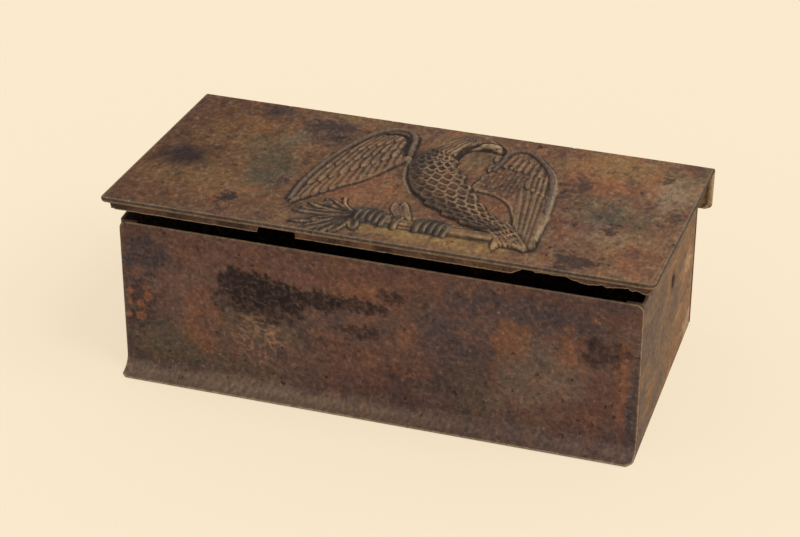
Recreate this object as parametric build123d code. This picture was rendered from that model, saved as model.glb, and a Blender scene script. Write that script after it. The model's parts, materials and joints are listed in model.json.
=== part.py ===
# Matchbox of sheet iron: a box of flat panels, a wire hinge and an embossed lid that stands ajar.
# Millimetres. The origin is the centre of the base, +X to the right, +Y to the back, +Z up.
# The lid is built closed and then turned about its hinge wire to the angle at which it rests.

import os
from math import cos, hypot, radians, sin

from build123d import *

# Box of flat panels
body_length = 120.0
body_depth = 58.0
body_height = 39.0
sheet = 0.6
corner_round = 1.8

# Front foot, a cove that sweeps the front wall forward
foot_reach = 4.7
foot_radius = 3.2
foot_corner = 2.0
toe_reach = 3.1

# Seam flanges of the end panels, tucked behind the front and back walls
seam_width = 4.0
bend_outer = 0.9
bend_inner = bend_outer - sheet
seam_clearance = 0.2

# Punched hole in the right end
hole_radius = 1.5
hole_back = 3.0
hole_drop = 12.5

# Bottom tray and the striking band pressed into its underside
tray_wall = 3.5
groove_count = 24
groove_pitch = 1.6
groove_width = 0.8
groove_depth = 0.3
groove_length = 30.0

# Hinge of rolled knuckles round a wire
wire_radius = 0.9
wire_fit = 0.05
wire_overhang = 1.2
leaf_sheet = 0.9
leaf_drop = 9.0
knuckle_count = 5
knuckle_length = 15.0
knuckle_gap = 0.4
roll_angle = 285
slot_clearance = 0.45
pivot_drop = 8.9

# Lid plate with folded edges and a rear flange
lid_side_overhang = 2.8
lid_front_overhang = 4.8
front_fold = 2.8
side_fold = 1.2
fold_round = 0.5
plate_corner = 1.5
flange_fold = 1.8
flange_corner = 1.6
flange_drop = 0.6
rear_bend = 1.0

# Angle strips under the lid
rim_sheet = 0.5
rim_height = 3.4
rim_leg = 3.5
rim_front_gap = 1.2
rim_side_gap = 1.0
rim_round = 1.2
rim_back_stop = 0.5
notch_left = -26.9
notch_right = -17.9
notch_slant = 1.2
lid_clearance = 0.1

# Resting angle of the lid above the closed position
ajar_angle = 5.7

# Embossed figure, its raised fields and feather blades
field_height = 0.4
field_bevel = 0.25
field_hollow = 0.7
figure_depth = 0.3
feather_root = 0.35
feather_tip = 0.95
blade_shoulder = 0.65
berry_radius = 1.4
berry_rise = 0.8
figure_shift = -2.3
figure_stretch = 1.085
figure_drop = 4.0

# Places worked out from the sizes above
half_length = body_length / 2
half_depth = body_depth / 2
inner_length = half_length - sheet
inner_depth = half_depth - sheet
leaf_ring = wire_radius + leaf_sheet
lid_ring = wire_radius + wire_fit + sheet
pivot_y = half_depth + leaf_ring
pivot_z = body_height - pivot_drop
plate_bottom = body_height + lid_clearance + rim_sheet
plate_top = plate_bottom + sheet
lid_front = -half_depth - lid_front_overhang
lid_back = pivot_y + lid_ring
lid_half = half_length + lid_side_overhang
hinge_line = Axis((0, pivot_y, pivot_z), (-1, 0, 0))


def block(x_span, y_span, z_span):
    """A flat piece between three pairs of planes."""
    spans = (x_span, y_span, z_span)
    middle = [(low + high) / 2 for low, high in spans]
    size = [high - low for low, high in spans]
    return Pos(*middle) * Box(*size)


def run_along_x(edges, x_span):
    """A section drawn in the YZ plane, carried from one X to another."""
    low, high = x_span
    section = Plane.YZ * make_face(edges)
    return Pos(low, 0, 0) * extrude(section, high - low)


def edges_at(shape, direction, **place):
    """Straight edges along one direction whose middles lie at the given X, Y or Z."""
    found = shape.edges().filter_by(direction)
    for name, value in place.items():
        found = [edge for edge in found if abs(abs(getattr(edge.center(), name)) - abs(value)) < 0.01]
    return found


def make_front_panel():
    """Upright wall whose foot sweeps forward in a cove and ends in a flat lip."""
    lip = -half_depth - foot_reach
    start = foot_radius + sheet
    centre = (-half_depth - foot_radius, start)
    outer = CenterArc(centre, foot_radius, 270, 90)
    inner = CenterArc(centre, foot_radius + sheet, 270, 90)
    edges = [
        outer,
        Line(outer @ 1, (-half_depth, body_height)),
        Line((-half_depth, body_height), (-inner_depth, body_height)),
        Line((-inner_depth, body_height), inner @ 1),
        inner,
        Line(inner @ 0, (lip, 0)),
        Line((lip, 0), (lip, sheet)),
        Line((lip, sheet), outer @ 0),
    ]
    panel = run_along_x(edges, (-half_length, half_length))
    lip_corners = edges_at(panel, Axis.Z, X=half_length, Y=lip)
    panel = fillet(lip_corners, foot_corner)
    top_corners = [edge for edge in edges_at(panel, Axis.Y, X=half_length) if edge.center().Z > start]
    return fillet(top_corners, corner_round)


def make_back_panel():
    """Plain rear wall."""
    panel = block((-half_length, half_length), (inner_depth, half_depth), (0, body_height))
    top_corners = edges_at(panel, Axis.Y, X=half_length, Z=body_height)
    return fillet(top_corners, corner_round)


def make_end_panel():
    """Right-hand end wall: a channel in plan, with a toe that closes the end of the cove."""
    flange_end = half_length - seam_width
    centre_x = (flange_end + half_length) / 2
    outline = Pos(centre_x, 0) * Rectangle(seam_width, 2 * inner_depth)
    outline = fillet(outline.vertices().group_by(Axis.X)[-1], bend_outer)
    inside = Pos(centre_x - sheet, 0) * Rectangle(seam_width, 2 * (inner_depth - sheet))
    inside = fillet(inside.vertices().group_by(Axis.X)[-1], bend_inner)
    channel = extrude(outline - inside, body_height)
    tray_room = tray_wall + seam_clearance
    channel -= block((flange_end, inner_length), (-inner_depth, inner_depth), (0, tray_room))
    toe_end = -inner_depth - toe_reach
    start = foot_radius + sheet
    cove = Pos(-half_depth - foot_radius, start) * Circle(start)
    toe_width = toe_reach + bend_outer
    toe = Pos(toe_end + toe_width / 2, start / 2) * Rectangle(toe_width, start) - cove
    toe = extrude(Plane.YZ * toe, sheet)
    return channel + Pos(inner_length, 0, 0) * toe


def make_left_end_panel():
    """The same end wall, turned over for the left side."""
    return mirror(make_end_panel(), Plane.YZ)


def make_right_end_panel():
    """End wall with its punched hole."""
    hole = Cylinder(hole_radius, 4 * sheet, rotation=(0, 90, 0))
    return make_end_panel() - Pos(half_length, hole_back, body_height - hole_drop) * hole


def make_bottom_plate():
    """Tray with low walls inside the panels, and grooves pressed into its underside."""
    x_span = (-inner_length, inner_length)
    y_span = (-inner_depth, inner_depth)
    tray = block(x_span, y_span, (0, tray_wall))
    hollow_x = inner_length - sheet
    hollow_y = inner_depth - sheet
    tray -= block((-hollow_x, hollow_x), (-hollow_y, hollow_y), (sheet, tray_wall))
    first = -(groove_count - 1) * groove_pitch / 2
    section = Plane.XZ * Polygon((-groove_width / 2, 0), (groove_width / 2, 0), (0, groove_depth), align=None)
    groove = extrude(section, groove_length / 2, both=True)
    places = [first + groove_pitch * index for index in range(groove_count)]
    return tray - [Pos(place, 0, 0) * groove for place in places]


def knuckle_spans(first, step):
    """X spans of every step-th knuckle of the row, starting at the given one."""
    pitch = knuckle_length + knuckle_gap
    row_start = -(knuckle_count * pitch - knuckle_gap) / 2
    starts = [row_start + pitch * index for index in range(first, knuckle_count, step)]
    return [(start, start + knuckle_length) for start in starts]


def rolled_tab(ring, bore, tab_length, x_span):
    """A tab that rises behind the wall and rolls over the wire at the origin of its section."""
    low, high = x_span
    outer = CenterArc((0, 0), ring, 180, -roll_angle)
    inner = CenterArc((0, 0), bore, 180, -roll_angle)
    edges = [
        outer,
        inner,
        Line(outer @ 1, inner @ 1),
        Line(outer @ 0, (-ring, -tab_length)),
        Line((-ring, -tab_length), (-bore, -tab_length)),
        Line((-bore, -tab_length), inner @ 0),
    ]
    return Pos(low, 0, 0) * extrude(Plane.YZ * make_face(edges), high - low)


def make_hinge_leaf():
    """Strip on the back wall whose tabs roll backwards over the wire."""
    spans = knuckle_spans(0, 2)
    row_end = spans[-1][1]
    tab_length = lid_ring + slot_clearance
    z_span = (pivot_z - leaf_drop, pivot_z - tab_length)
    leaf = block((-row_end, row_end), (half_depth, half_depth + leaf_sheet), z_span)
    for span in spans:
        leaf += Pos(0, pivot_y, pivot_z) * rolled_tab(leaf_ring, wire_radius, tab_length, span)
    return leaf


def make_hinge_wire():
    """Straight wire through all the knuckles."""
    spans = knuckle_spans(0, 2)
    length = spans[-1][1] - spans[0][0] + 2 * wire_overhang
    wire = Cylinder(wire_radius, length, rotation=(0, 90, 0))
    wire = chamfer(wire.edges().filter_by(GeomType.CIRCLE), wire_radius / 4)
    return Pos(0, pivot_y, pivot_z) * wire


def lid_place(x, from_front):
    """A point of the figure on the lid's top face, from its drawn place to its place on the plate."""
    return (x + figure_shift, lid_front + figure_stretch * from_front - figure_drop)


def smooth_outline(points):
    """A closed curve through points of the lid's top face."""
    return make_face(Spline([lid_place(*point) for point in points], periodic=True))


def inset(points, distance):
    """The same outline, each point moved inwards across the line between its neighbours."""
    moved = []
    for index, (x, y) in enumerate(points):
        before = points[index - 1]
        after = points[(index + 1) % len(points)]
        run = hypot(after[0] - before[0], after[1] - before[1])
        across = ((after[1] - before[1]) / run, (before[0] - after[0]) / run)
        moved.append((x + across[0] * distance, y + across[1] * distance))
    return moved


def raised_field(points):
    """A smooth closed outline raised above the plate, with a bevelled edge."""
    body = extrude(smooth_outline(points), field_height + figure_depth)
    rim = body.edges().group_by(Axis.Z)[-1]
    body = chamfer(rim, field_bevel)
    return Pos(0, 0, plate_top - figure_depth) * body


def field_hollow_below(points):
    """The matching hollow that the pressing leaves under the plate, with straight sides."""
    corners = [lid_place(*point) for point in inset(points, field_hollow)]
    return Pos(0, 0, plate_bottom) * extrude(Polygon(*corners, align=None), field_height, dir=(0, 0, 1))


def feather(x, from_front, angle, length, width, root=feather_root, tip=feather_tip):
    """A pointed blade whose top slopes up from root to tip, so that rows overlap like tiles."""
    half = width / 2
    shoulder = blade_shoulder * length
    corners = [(0, -half / 2), (shoulder, -half), (length, 0), (shoulder, half), (0, half / 2)]
    blade = extrude(Polygon(*corners, align=None), figure_depth + tip)
    slope = Plane(origin=(0, 0, figure_depth + root), x_dir=(length, 0, tip - root), z_dir=(root - tip, 0, length))
    blade = split(blade, slope, keep=Keep.BOTTOM)
    px, py = lid_place(x, from_front)
    return Pos(px, py, plate_top - figure_depth) * Rot(0, 0, angle) * blade


def between(start, end, share):
    """A point part of the way from one point to another."""
    return (start[0] + (end[0] - start[0]) * share, start[1] + (end[1] - start[1]) * share)


def feather_row(start, end, count, angles, length, width, **rises):
    """Feathers side by side from one point to another, their angles turning evenly."""
    blades = []
    for index in range(count):
        share = index / (count - 1)
        x, from_front = between(start, end, share)
        angle = angles[0] + (angles[1] - angles[0]) * share
        blades.append(feather(x, from_front, angle, length, width, **rises))
    return blades


left_wing_outline = [
    (-20.4, 15.0), (-22.2, 21.8), (-21.3, 31.0), (-19.5, 40.0), (-16.0, 50.5), (-12.8, 58.0),
    (-9.6, 61.0), (-5.6, 59.2), (-3.4, 55.0), (-3.2, 48.5), (-4.7, 41.0), (-8.0, 33.2),
    (-13.0, 27.0), (-17.6, 19.0),
]
right_wing_outline = [
    (17.4, 55.5), (19.6, 58.7), (23.8, 58.2), (27.8, 53.5), (31.2, 46.0), (33.6, 37.0),
    (34.7, 27.5), (35.3, 18.0), (34.4, 11.4), (29.6, 10.6), (27.2, 17.0), (25.6, 24.0),
    (20.0, 31.5), (16.6, 37.5), (16.4, 46.0),
]
body_outline = [
    (3.0, 56.4), (5.8, 60.8), (9.8, 62.6), (13.8, 61.8), (16.6, 58.2), (15.4, 57.2),
    (12.6, 59.4), (9.6, 57.4), (8.0, 53.0), (9.0, 46.4), (13.5, 39.5), (19.5, 31.5),
    (25.6, 22.5), (26.8, 16.6), (20.0, 17.6), (12.5, 22.4), (6.0, 28.8), (1.6, 37.0),
    (-1.0, 45.0), (0.6, 51.5),
]


def make_wing_feathers():
    """Rows of feathers: long ones down each wing, shorter coverts above them."""
    blades = feather_row((-16.2, 33.0), (-8.8, 35.5), 5, (-108, -124), 16.0, 3.0)
    blades += feather_row((-19.2, 30.0), (-14.0, 30.0), 3, (-98, -108), 13.0, 2.8)
    blades += feather_row((-17.6, 44.0), (-6.6, 46.0), 6, (-100, -108), 12.0, 2.9)
    blades += feather_row((-13.8, 54.5), (-5.6, 55.5), 5, (-106, -96), 9.5, 2.8)
    blades += feather_row((27.8, 33.0), (33.2, 33.0), 4, (-92, -86), 22.0, 2.6)
    blades += feather_row((25.6, 45.0), (31.4, 43.0), 4, (-88, -80), 13.0, 2.6)
    blades += feather_row((18.6, 48.0), (23.6, 47.0), 4, (-84, -76), 12.0, 2.4)
    blades += feather_row((19.4, 57.0), (27.0, 53.0), 5, (-92, -74), 9.5, 2.4)
    return blades


def make_breast_scales():
    """Short scale feathers in staggered rows from the neck down to the tail."""
    blades = []
    rows = 9
    for row in range(rows):
        share = row / (rows - 1)
        centre = between((4.4, 53.0), (21.4, 21.5), share)
        half = 3.4 - 1.4 * abs(2 * share - 0.7)
        across = radians(40)
        start = (centre[0] - half * cos(across), centre[1] - half * sin(across))
        end = (centre[0] + half * cos(across), centre[1] + half * sin(across))
        turn = -60 + 4 * (row % 2)
        blades += feather_row(start, end, 3 + row % 2, (turn - 6, turn + 6), 5.4, 2.0)
    return blades


def berry(x, from_front):
    """A low round boss that narrows upwards."""
    px, py = lid_place(x, from_front)
    height = berry_rise + figure_depth
    return Pos(px, py, plate_top - figure_depth + height / 2) * Cone(berry_radius, berry_radius / 2, height)


def make_branch():
    """The branch under the bird: a straight rod, leaves that spread from its left end and berries."""
    px, py = lid_place(6.5, 15.6)
    rod = extrude(SlotOverall(42.0, 2.6, rotation=2), field_height + figure_depth)
    rod = chamfer(rod.edges().group_by(Axis.Z)[-1], field_bevel)
    pieces = [Pos(px, py, plate_top - figure_depth) * rod]
    for index in range(7):
        angle = 118 + 22 * index
        pieces.append(feather(-6.5, 14.8, angle, 10.5, 3.4, root=0.2, tip=0.8))
    berries = [(-16.3, 13.9), (-12.6, 10.2), (-11.8, 18.1), (-6.8, 9.3), (-13.8, 6.6)]
    pieces += [berry(x, from_front) for x, from_front in berries]
    pieces += feather_row((-3.6, 19.4), (1.4, 18.8), 4, (-86, -94), 6.6, 2.0)
    pieces += feather_row((10.4, 19.4), (16.0, 19.0), 4, (-88, -92), 7.0, 1.8)
    pieces += [feather(3.6, 17.4, 76, 8.0, 2.8), feather(5.6, 17.0, 64, 8.0, 2.6)]
    return pieces


def make_lid_sheet():
    """Plate with its front and side edges folded under, as far as the rear bend."""
    bend_start = lid_back - rear_bend
    middle = (bend_start + lid_front) / 2
    outline = Pos(0, middle) * Rectangle(2 * lid_half, bend_start - lid_front)
    outline = fillet(outline.vertices().group_by(Axis.Y)[0], plate_corner)
    fold_bottom = plate_bottom - sheet
    plate = Pos(0, 0, fold_bottom) * extrude(outline, 2 * sheet)
    fold_edges = [edge for edge in plate.edges() if edge.center().Y < bend_start - fold_round]
    lower = [edge for edge in fold_edges if edge.center().Z < plate_bottom - sheet / 2]
    plate = chamfer(lower, fold_round / 2)
    fold_edges = [edge for edge in plate.edges() if edge.center().Y < bend_start - fold_round]
    upper = [edge for edge in fold_edges if edge.center().Z > plate_bottom + sheet / 2]
    plate = fillet(upper, fold_round)
    inside_x = lid_half - side_fold
    return plate - block((-inside_x, inside_x), (lid_front + front_fold, lid_back), (fold_bottom, plate_bottom))


def make_rear_flange():
    """Bend and flange behind the back wall: ends folded forward, lower corners round, knuckles below."""
    low = pivot_z - flange_drop
    inner = lid_back - sheet
    bend_start = lid_back - rear_bend
    bend_low = plate_top - rear_bend
    centre = (bend_start, bend_low)
    edges = [
        CenterArc(centre, rear_bend, 0, 90),
        Line((bend_start, plate_top), (bend_start, plate_bottom)),
        CenterArc(centre, rear_bend - sheet, 0, 90),
        Line((inner, bend_low), (inner, low)),
        Line((inner, low), (lid_back, low)),
        Line((lid_back, low), (lid_back, bend_low)),
    ]
    flange = run_along_x(edges, (-lid_half, lid_half))
    for side in (-1, 1):
        x_span = sorted((side * (lid_half - flange_fold), side * lid_half))
        flange += block(x_span, (inner - sheet, inner), (low, plate_bottom - sheet))
    flange = fillet(edges_at(flange, Axis.Y, X=lid_half, Z=low), flange_corner)
    tab_length = leaf_ring + slot_clearance
    for low_x, high_x in knuckle_spans(0, 1):
        x_span = (low_x - knuckle_gap, high_x + knuckle_gap)
        flange -= block(x_span, (inner - sheet, lid_back), (low, pivot_z + tab_length))
    for x_span in knuckle_spans(1, 2):
        tab = Rot(180, 0, 0) * rolled_tab(lid_ring, wire_radius + wire_fit, tab_length, x_span)
        flange += Pos(0, pivot_y, pivot_z) * tab
    return flange


def make_lid_plate():
    """The whole lid sheet: plate, flange, knuckles and the eagle pressed up from below."""
    outlines = (left_wing_outline, right_wing_outline, body_outline)
    plate = make_lid_sheet() + make_rear_flange()
    plate += [raised_field(outline) for outline in outlines]
    plate += make_breast_scales()
    plate += make_wing_feathers()
    plate += make_branch()
    for outline in outlines:
        plate -= field_hollow_below(outline)
    return plate


def corroded_bites():
    """Round bites that rust has taken out of the front strip's lower edge: place, radius and depth."""
    bites = []
    deep_stretch = [(32.8, 1.6, 2.2), (35.4, 2.2, 2.6), (38.6, 2.0, 2.4), (41.8, 2.2, 2.5), (44.6, 1.6, 1.7)]
    shallow_stretch = [(47.4, 1.5, 0.9), (50.2, 1.8, 1.1), (53.2, 1.4, 0.7), (55.8, 1.6, 1.0), (58.4, 1.3, 0.7)]
    low = plate_bottom - rim_height
    for place, radius, depth in deep_stretch + shallow_stretch:
        tool = Cylinder(radius, 4 * rim_sheet, rotation=(90, 0, 0))
        bites.append(Pos(place, rim_front_face() + rim_sheet / 2, low + depth - radius) * tool)
    return bites


def rim_front_face():
    """Y of the front strip's outer face."""
    return -half_depth - rim_front_gap - rim_sheet


def rim_side_face():
    """X of the right-hand strip's outer face."""
    return half_length + rim_side_gap + rim_sheet


def make_lid_rim_front():
    """Front angle strip: an upright leg outside the front wall, and a leg fixed under the plate."""
    face = rim_front_face()
    side = rim_side_face()
    low = plate_bottom - rim_height
    leg = block((-side, side), (face, face + rim_sheet), (low, plate_bottom))
    leg = fillet(edges_at(leg, Axis.Y, X=side, Z=low), rim_round)
    notch = Polygon(
        (notch_left, low), (notch_right, low), (notch_right, plate_bottom - rim_sheet),
        (notch_left + notch_slant, plate_bottom - rim_sheet), align=None)
    leg -= Pos(0, face + 2 * rim_sheet, 0) * extrude(Plane.XZ * notch, 4 * rim_sheet)
    leg -= corroded_bites()
    inner_side = side - rim_sheet
    flat = block((-inner_side, inner_side), (face, face + rim_leg), (plate_bottom - rim_sheet, plate_bottom))
    return leg + flat


def make_side_rim():
    """Right-hand angle strip, butted against the back of the front strip."""
    face = rim_side_face()
    front = rim_front_face()
    back = half_depth - rim_back_stop
    low = plate_bottom - rim_height
    leg = block((face - rim_sheet, face), (front + rim_sheet, back), (low, plate_bottom))
    leg = fillet(edges_at(leg, Axis.X, Y=back, Z=low), rim_round)
    flat_low = plate_bottom - rim_sheet
    return leg + block((face - rim_leg, face), (front + rim_leg, back), (flat_low, plate_bottom))


def set_ajar(shape):
    """Turn a piece of the closed lid to the angle at which the lid rests."""
    return shape.rotate(hinge_line, ajar_angle)


box_pieces = {
    "front_panel": make_front_panel(),
    "back_panel": make_back_panel(),
    "left_end_panel": make_left_end_panel(),
    "right_end_panel": make_right_end_panel(),
    "bottom_plate": make_bottom_plate(),
    "hinge_leaf": make_hinge_leaf(),
    "hinge_wire": make_hinge_wire(),
}
lid_pieces = {
    "lid_plate": make_lid_plate(),
    "lid_rim_front": make_lid_rim_front(),
    "lid_rim_left": mirror(make_side_rim(), Plane.YZ),
    "lid_rim_right": make_side_rim(),
}

os.makedirs("parts", exist_ok=True)
for name, shape in box_pieces.items():
    export_step(shape, f"parts/{name}.step")
for name, shape in lid_pieces.items():
    export_step(set_ajar(shape), f"parts/{name}.step")

volume = sum(shape.volume for shape in lid_pieces.values())
print(f"hinge wire axis: Y {pivot_y:.2f}, Z {pivot_z:.2f}; lid metal {volume:.0f} cubic mm")
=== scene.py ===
# %% [markdown]
# # A matchbox of rusted sheet iron
# A box of flat iron panels with a loose lid. The lid has an eagle on a branch pressed up into it,
# and it stands a few degrees open on a stiff, rusted hinge wire. The plain pieces come from the
# frame. What the eye rests on is made here: the embossed lid, the front wall, the torn strip under
# the lid, and the rust. Lengths are in millimetres until a mesh is made, where they become metres.

import bpy
import numpy as np
from mathutils import Matrix, Vector
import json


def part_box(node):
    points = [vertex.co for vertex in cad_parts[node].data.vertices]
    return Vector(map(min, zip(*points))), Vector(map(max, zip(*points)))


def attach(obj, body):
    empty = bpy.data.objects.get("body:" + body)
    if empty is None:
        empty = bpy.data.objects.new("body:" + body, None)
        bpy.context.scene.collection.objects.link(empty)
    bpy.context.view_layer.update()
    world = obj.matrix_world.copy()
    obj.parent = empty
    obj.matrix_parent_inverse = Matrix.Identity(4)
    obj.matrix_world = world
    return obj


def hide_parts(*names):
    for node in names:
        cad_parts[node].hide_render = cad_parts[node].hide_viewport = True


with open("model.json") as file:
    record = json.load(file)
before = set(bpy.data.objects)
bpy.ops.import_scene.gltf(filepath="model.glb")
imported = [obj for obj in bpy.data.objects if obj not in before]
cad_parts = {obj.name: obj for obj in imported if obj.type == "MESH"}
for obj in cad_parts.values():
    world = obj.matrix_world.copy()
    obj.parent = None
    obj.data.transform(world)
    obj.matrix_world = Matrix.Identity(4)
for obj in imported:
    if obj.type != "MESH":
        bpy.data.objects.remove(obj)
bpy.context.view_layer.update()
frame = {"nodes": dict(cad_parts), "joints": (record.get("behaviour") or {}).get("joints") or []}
MM = 0.001
print("nodes:", sorted(frame["nodes"]))

# %% [markdown]
# ## Sizes
# The outer sizes are read from the frame. The lid's own sizes are those of the closed lid. It is
# modelled closed and flat, which is easy, and turned open about its hinge wire at the end.

# %% Sizes of the box and the lid
SHEET = 0.6
FRONT_LOW, FRONT_HIGH = (np.array(corner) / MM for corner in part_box("front_panel"))
HALF_LENGTH = FRONT_HIGH[0]
BODY_HEIGHT = FRONT_HIGH[2]
WALL_FACE = FRONT_HIGH[1] - SHEET
LIP = FRONT_LOW[1]
FOOT_RADIUS = 3.2
HINGE = next(joint for joint in frame["joints"] if joint["name"] == "lid_hinge")
PIVOT_Y, PIVOT_Z = (value / MM for value in HINGE["pos_m"][1:])
AJAR = np.radians(-HINGE["range_deg"][0])
SIDE_OVERHANG = 2.8
FRONT_OVERHANG = 4.8
LID_CLEARANCE = 0.1
STRIP_SHEET = 0.5
FLANGE_DROP = 0.6
LID_HALF = HALF_LENGTH + SIDE_OVERHANG
PLATE_TOP = BODY_HEIGHT + LID_CLEARANCE + STRIP_SHEET + SHEET
LID_FRONT = WALL_FACE - FRONT_OVERHANG
LID_RING = 1.55
LEAF_RING = 1.8
LID_BACK = PIVOT_Y + LID_RING
REAR_BEND = 1.0
PLATE_LENGTH = LID_BACK - REAR_BEND - LID_FRONT
FLANGE_LOW = PIVOT_Z - FLANGE_DROP
print("lid plate", round(2 * LID_HALF, 2), "x", round(PLATE_LENGTH, 2), "mm")
print("lid ajar by", round(float(np.degrees(AJAR)), 2), "degrees")

# %% [markdown]
# ## Helpers
# Two small tools serve every surface: a smooth S-shaped step, and soft noise. The noise comes from
# random heights on a square lattice, so the same places get the same value in the shape and in the
# colour, and a pit in the iron is also dark.

# %% Steps and noise
def soft_step(value, low, high):
    """0 below low and 1 above high, with the smooth rise 3t^2 - 2t^3 between them."""
    share = np.clip((value - low) / (high - low), 0, 1)
    return share * share * (3 - 2 * share)


def cloud(x, y, size, seed):
    """Soft noise from -1 to 1: lattice heights, size apart, blended along both axes by the S step."""
    lattice = np.random.default_rng(seed).uniform(-1, 1, (256, 256))
    u, v = x / size + 90.5, y / size + 70.5
    i, j = np.floor(u).astype(int), np.floor(v).astype(int)
    a, b = soft_step(u - i, 0, 1), soft_step(v - j, 0, 1)
    near = lattice[i % 256, j % 256] * (1 - a) + lattice[(i + 1) % 256, j % 256] * a
    far = lattice[i % 256, (j + 1) % 256] * (1 - a) + lattice[(i + 1) % 256, (j + 1) % 256] * a
    return near * (1 - b) + far * b


def layered_cloud(x, y, size, seed, layers=4):
    """Clouds added up, each layer half the size and 0.55 times the strength of the one before."""
    total, strength = 0, 1
    for layer in range(layers):
        total = total + strength * cloud(x, y, size / 2 ** layer, seed + layer)
        strength *= 0.55
    return total


# %% [markdown]
# Every new piece is a closed shell over a grid. An outer surface and an inner one share the grid's
# border, and a narrow band of faces joins them. The inner one is plainer and seldom seen, so it
# keeps only every third line of the grid, which saves most of its triangles.

# %% Meshes from grids
THIN = 3


def make_piece(name, points, faces, body, replaced):
    """A smooth mesh piece in metres that rides on a body and stands for a node of the frame."""
    mesh = bpy.data.meshes.new(name)
    mesh.from_pydata((points * MM).tolist(), [], faces)
    mesh.polygons.foreach_set("use_smooth", np.ones(len(faces), bool))
    mesh.update()
    piece = bpy.data.objects.new(name, mesh)
    bpy.context.collection.objects.link(piece)
    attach(piece, body)
    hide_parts(replaced)
    print(name, len(points), "points,", len(faces), "faces")
    return piece


def grid_quads(index):
    """Quads of a grid of point numbers: each cell's four corners, in order round it."""
    corners = (index[:-1, :-1], index[1:, :-1], index[1:, 1:], index[:-1, 1:])
    return np.stack([corner.ravel() for corner in corners], 1).tolist()


def border(index):
    """Point numbers once round a grid's edge, in the direction that its quads run."""
    return np.concatenate([index[:, 0], index[-1, 1:], index[-2::-1, -1], index[0, -2:0:-1]])


def shell(outer, inner, thin, turned=False):
    """Closed shell from two grids of points. The inner one keeps each thin-th line, and each of its
    border edges is joined to the thin finer edges outside it. A grid that runs the other way round
    is turned over, so that its faces look outwards."""
    rows, columns = outer.shape[:2]
    outer_index = np.arange(rows * columns).reshape(rows, columns)
    kept = inner[::thin, ::thin]
    inner_index = rows * columns + np.arange(kept[..., 0].size).reshape(kept.shape[:2])
    faces = grid_quads(outer_index) + grid_quads(inner_index.T)
    rim, back = border(outer_index), border(inner_index)
    count = len(back)
    for k in range(count):
        fine = [int(rim[(thin * k + step) % len(rim)]) for step in range(thin + 1)]
        faces.append(fine[::-1] + [int(back[k]), int(back[(k + 1) % count])])
    if turned:
        faces = [face[::-1] for face in faces]
    return np.concatenate([outer.reshape(-1, 3), kept.reshape(-1, 3)]), faces


def lines(*runs):
    """Grid line places: runs of (start, end, count) put one after another."""
    places = [np.linspace(start, end, count, endpoint=False) for start, end, count in runs]
    return np.append(np.concatenate(places), runs[-1][1])


def add_colour(piece, outer, inner=None):
    """Stores one linear colour per point, which the material reads by the name tone. A shell's inner
    grid gets the colours of the lines that it keeps."""
    layer = piece.data.color_attributes.new("tone", "FLOAT_COLOR", "POINT")
    grids = [outer] if inner is None else [outer, inner[::THIN, ::THIN]]
    rgba = np.ones((len(piece.data.vertices), 4), np.float32)
    rgba[:, :3] = np.concatenate([grid.reshape(-1, 3) for grid in grids])
    layer.data.foreach_set("color", rgba.ravel())
    print(piece.name, "mean tone", rgba[:, :3].mean(0).round(3))


# %% [markdown]
# ## Rust colours
# Old sheet iron is never one brown. Its tones are mixed from a small set: brown and ochre rust,
# orange where it is fresh, plum where it is old and dense, moss where damp has sat, ash where it is
# rubbed bare. A zone is a soft round place whose edge is broken up by noise.

# %% Tones and zones
def tone(red, green, blue):
    """A colour given in screen values from 0 to 255, turned into linear light."""
    screen = np.array([red, green, blue]) / 255
    return np.where(screen > 0.04045, ((screen + 0.055) / 1.055) ** 2.4, screen / 12.92)


BROWN = tone(102, 74, 56)
OCHRE = tone(132, 100, 64)
ORANGE = tone(138, 88, 58)
RED = tone(102, 65, 52)
PLUM = tone(60, 47, 46)
MOSS = tone(86, 78, 60)
DUST = tone(96, 86, 88)
ASH = tone(128, 111, 92)
BONE = tone(172, 148, 116)
SLATE = tone(62, 56, 60)
SOOT = tone(40, 34, 33)
SCALE = tone(44, 35, 37)


def blend_tone(colours, colour, amount):
    """Moves colours towards one tone by an amount from 0 to 1 at each point."""
    share = np.clip(amount, 0, 1)[..., None]
    return colours * (1 - share) + colour * share


def zone(x, y, centre, radius, seed, ragged=0.35, soft=0.6):
    """1 at a centre, falling to 0 near an ellipse round it whose edge wanders with the noise."""
    distance = np.hypot((x - centre[0]) / radius[0], (y - centre[1]) / radius[1])
    distance = distance + ragged * layered_cloud(x, y, 0.5 * min(radius), seed)
    return 1 - soft_step(distance, 1 - soft, 1 + soft / 2)


def paint_zones(colours, x, y, zones, **edge):
    """Lays soft zones of tone one over another: (centre, radius, colour, amount, seed)."""
    for centre, radius, colour, amount, seed in zones:
        colours = blend_tone(colours, colour, amount * zone(x, y, centre, radius, seed, **edge))
    return colours


def veins(x, y, size, seed):
    """A net of thin lines: the places where soft noise passes through zero."""
    return 1 - soft_step(np.abs(cloud(x, y, size, seed) + 0.4 * cloud(x, y, size / 2, seed + 1)), 0.03, 0.3)


# %% [markdown]
# ## The eagle
# The lid was pressed between dies, so the eagle is a height over the flat sheet. Each wing and the
# body is first raised as a soft-edged field. Feathers are laid on it like tiles, lowest row first:
# each one rises from its root to its tip, falls away to its sides, and covers what lies under it.
# Working on whole arrays of heights keeps this fast and lets one feather be a single formula.

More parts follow.
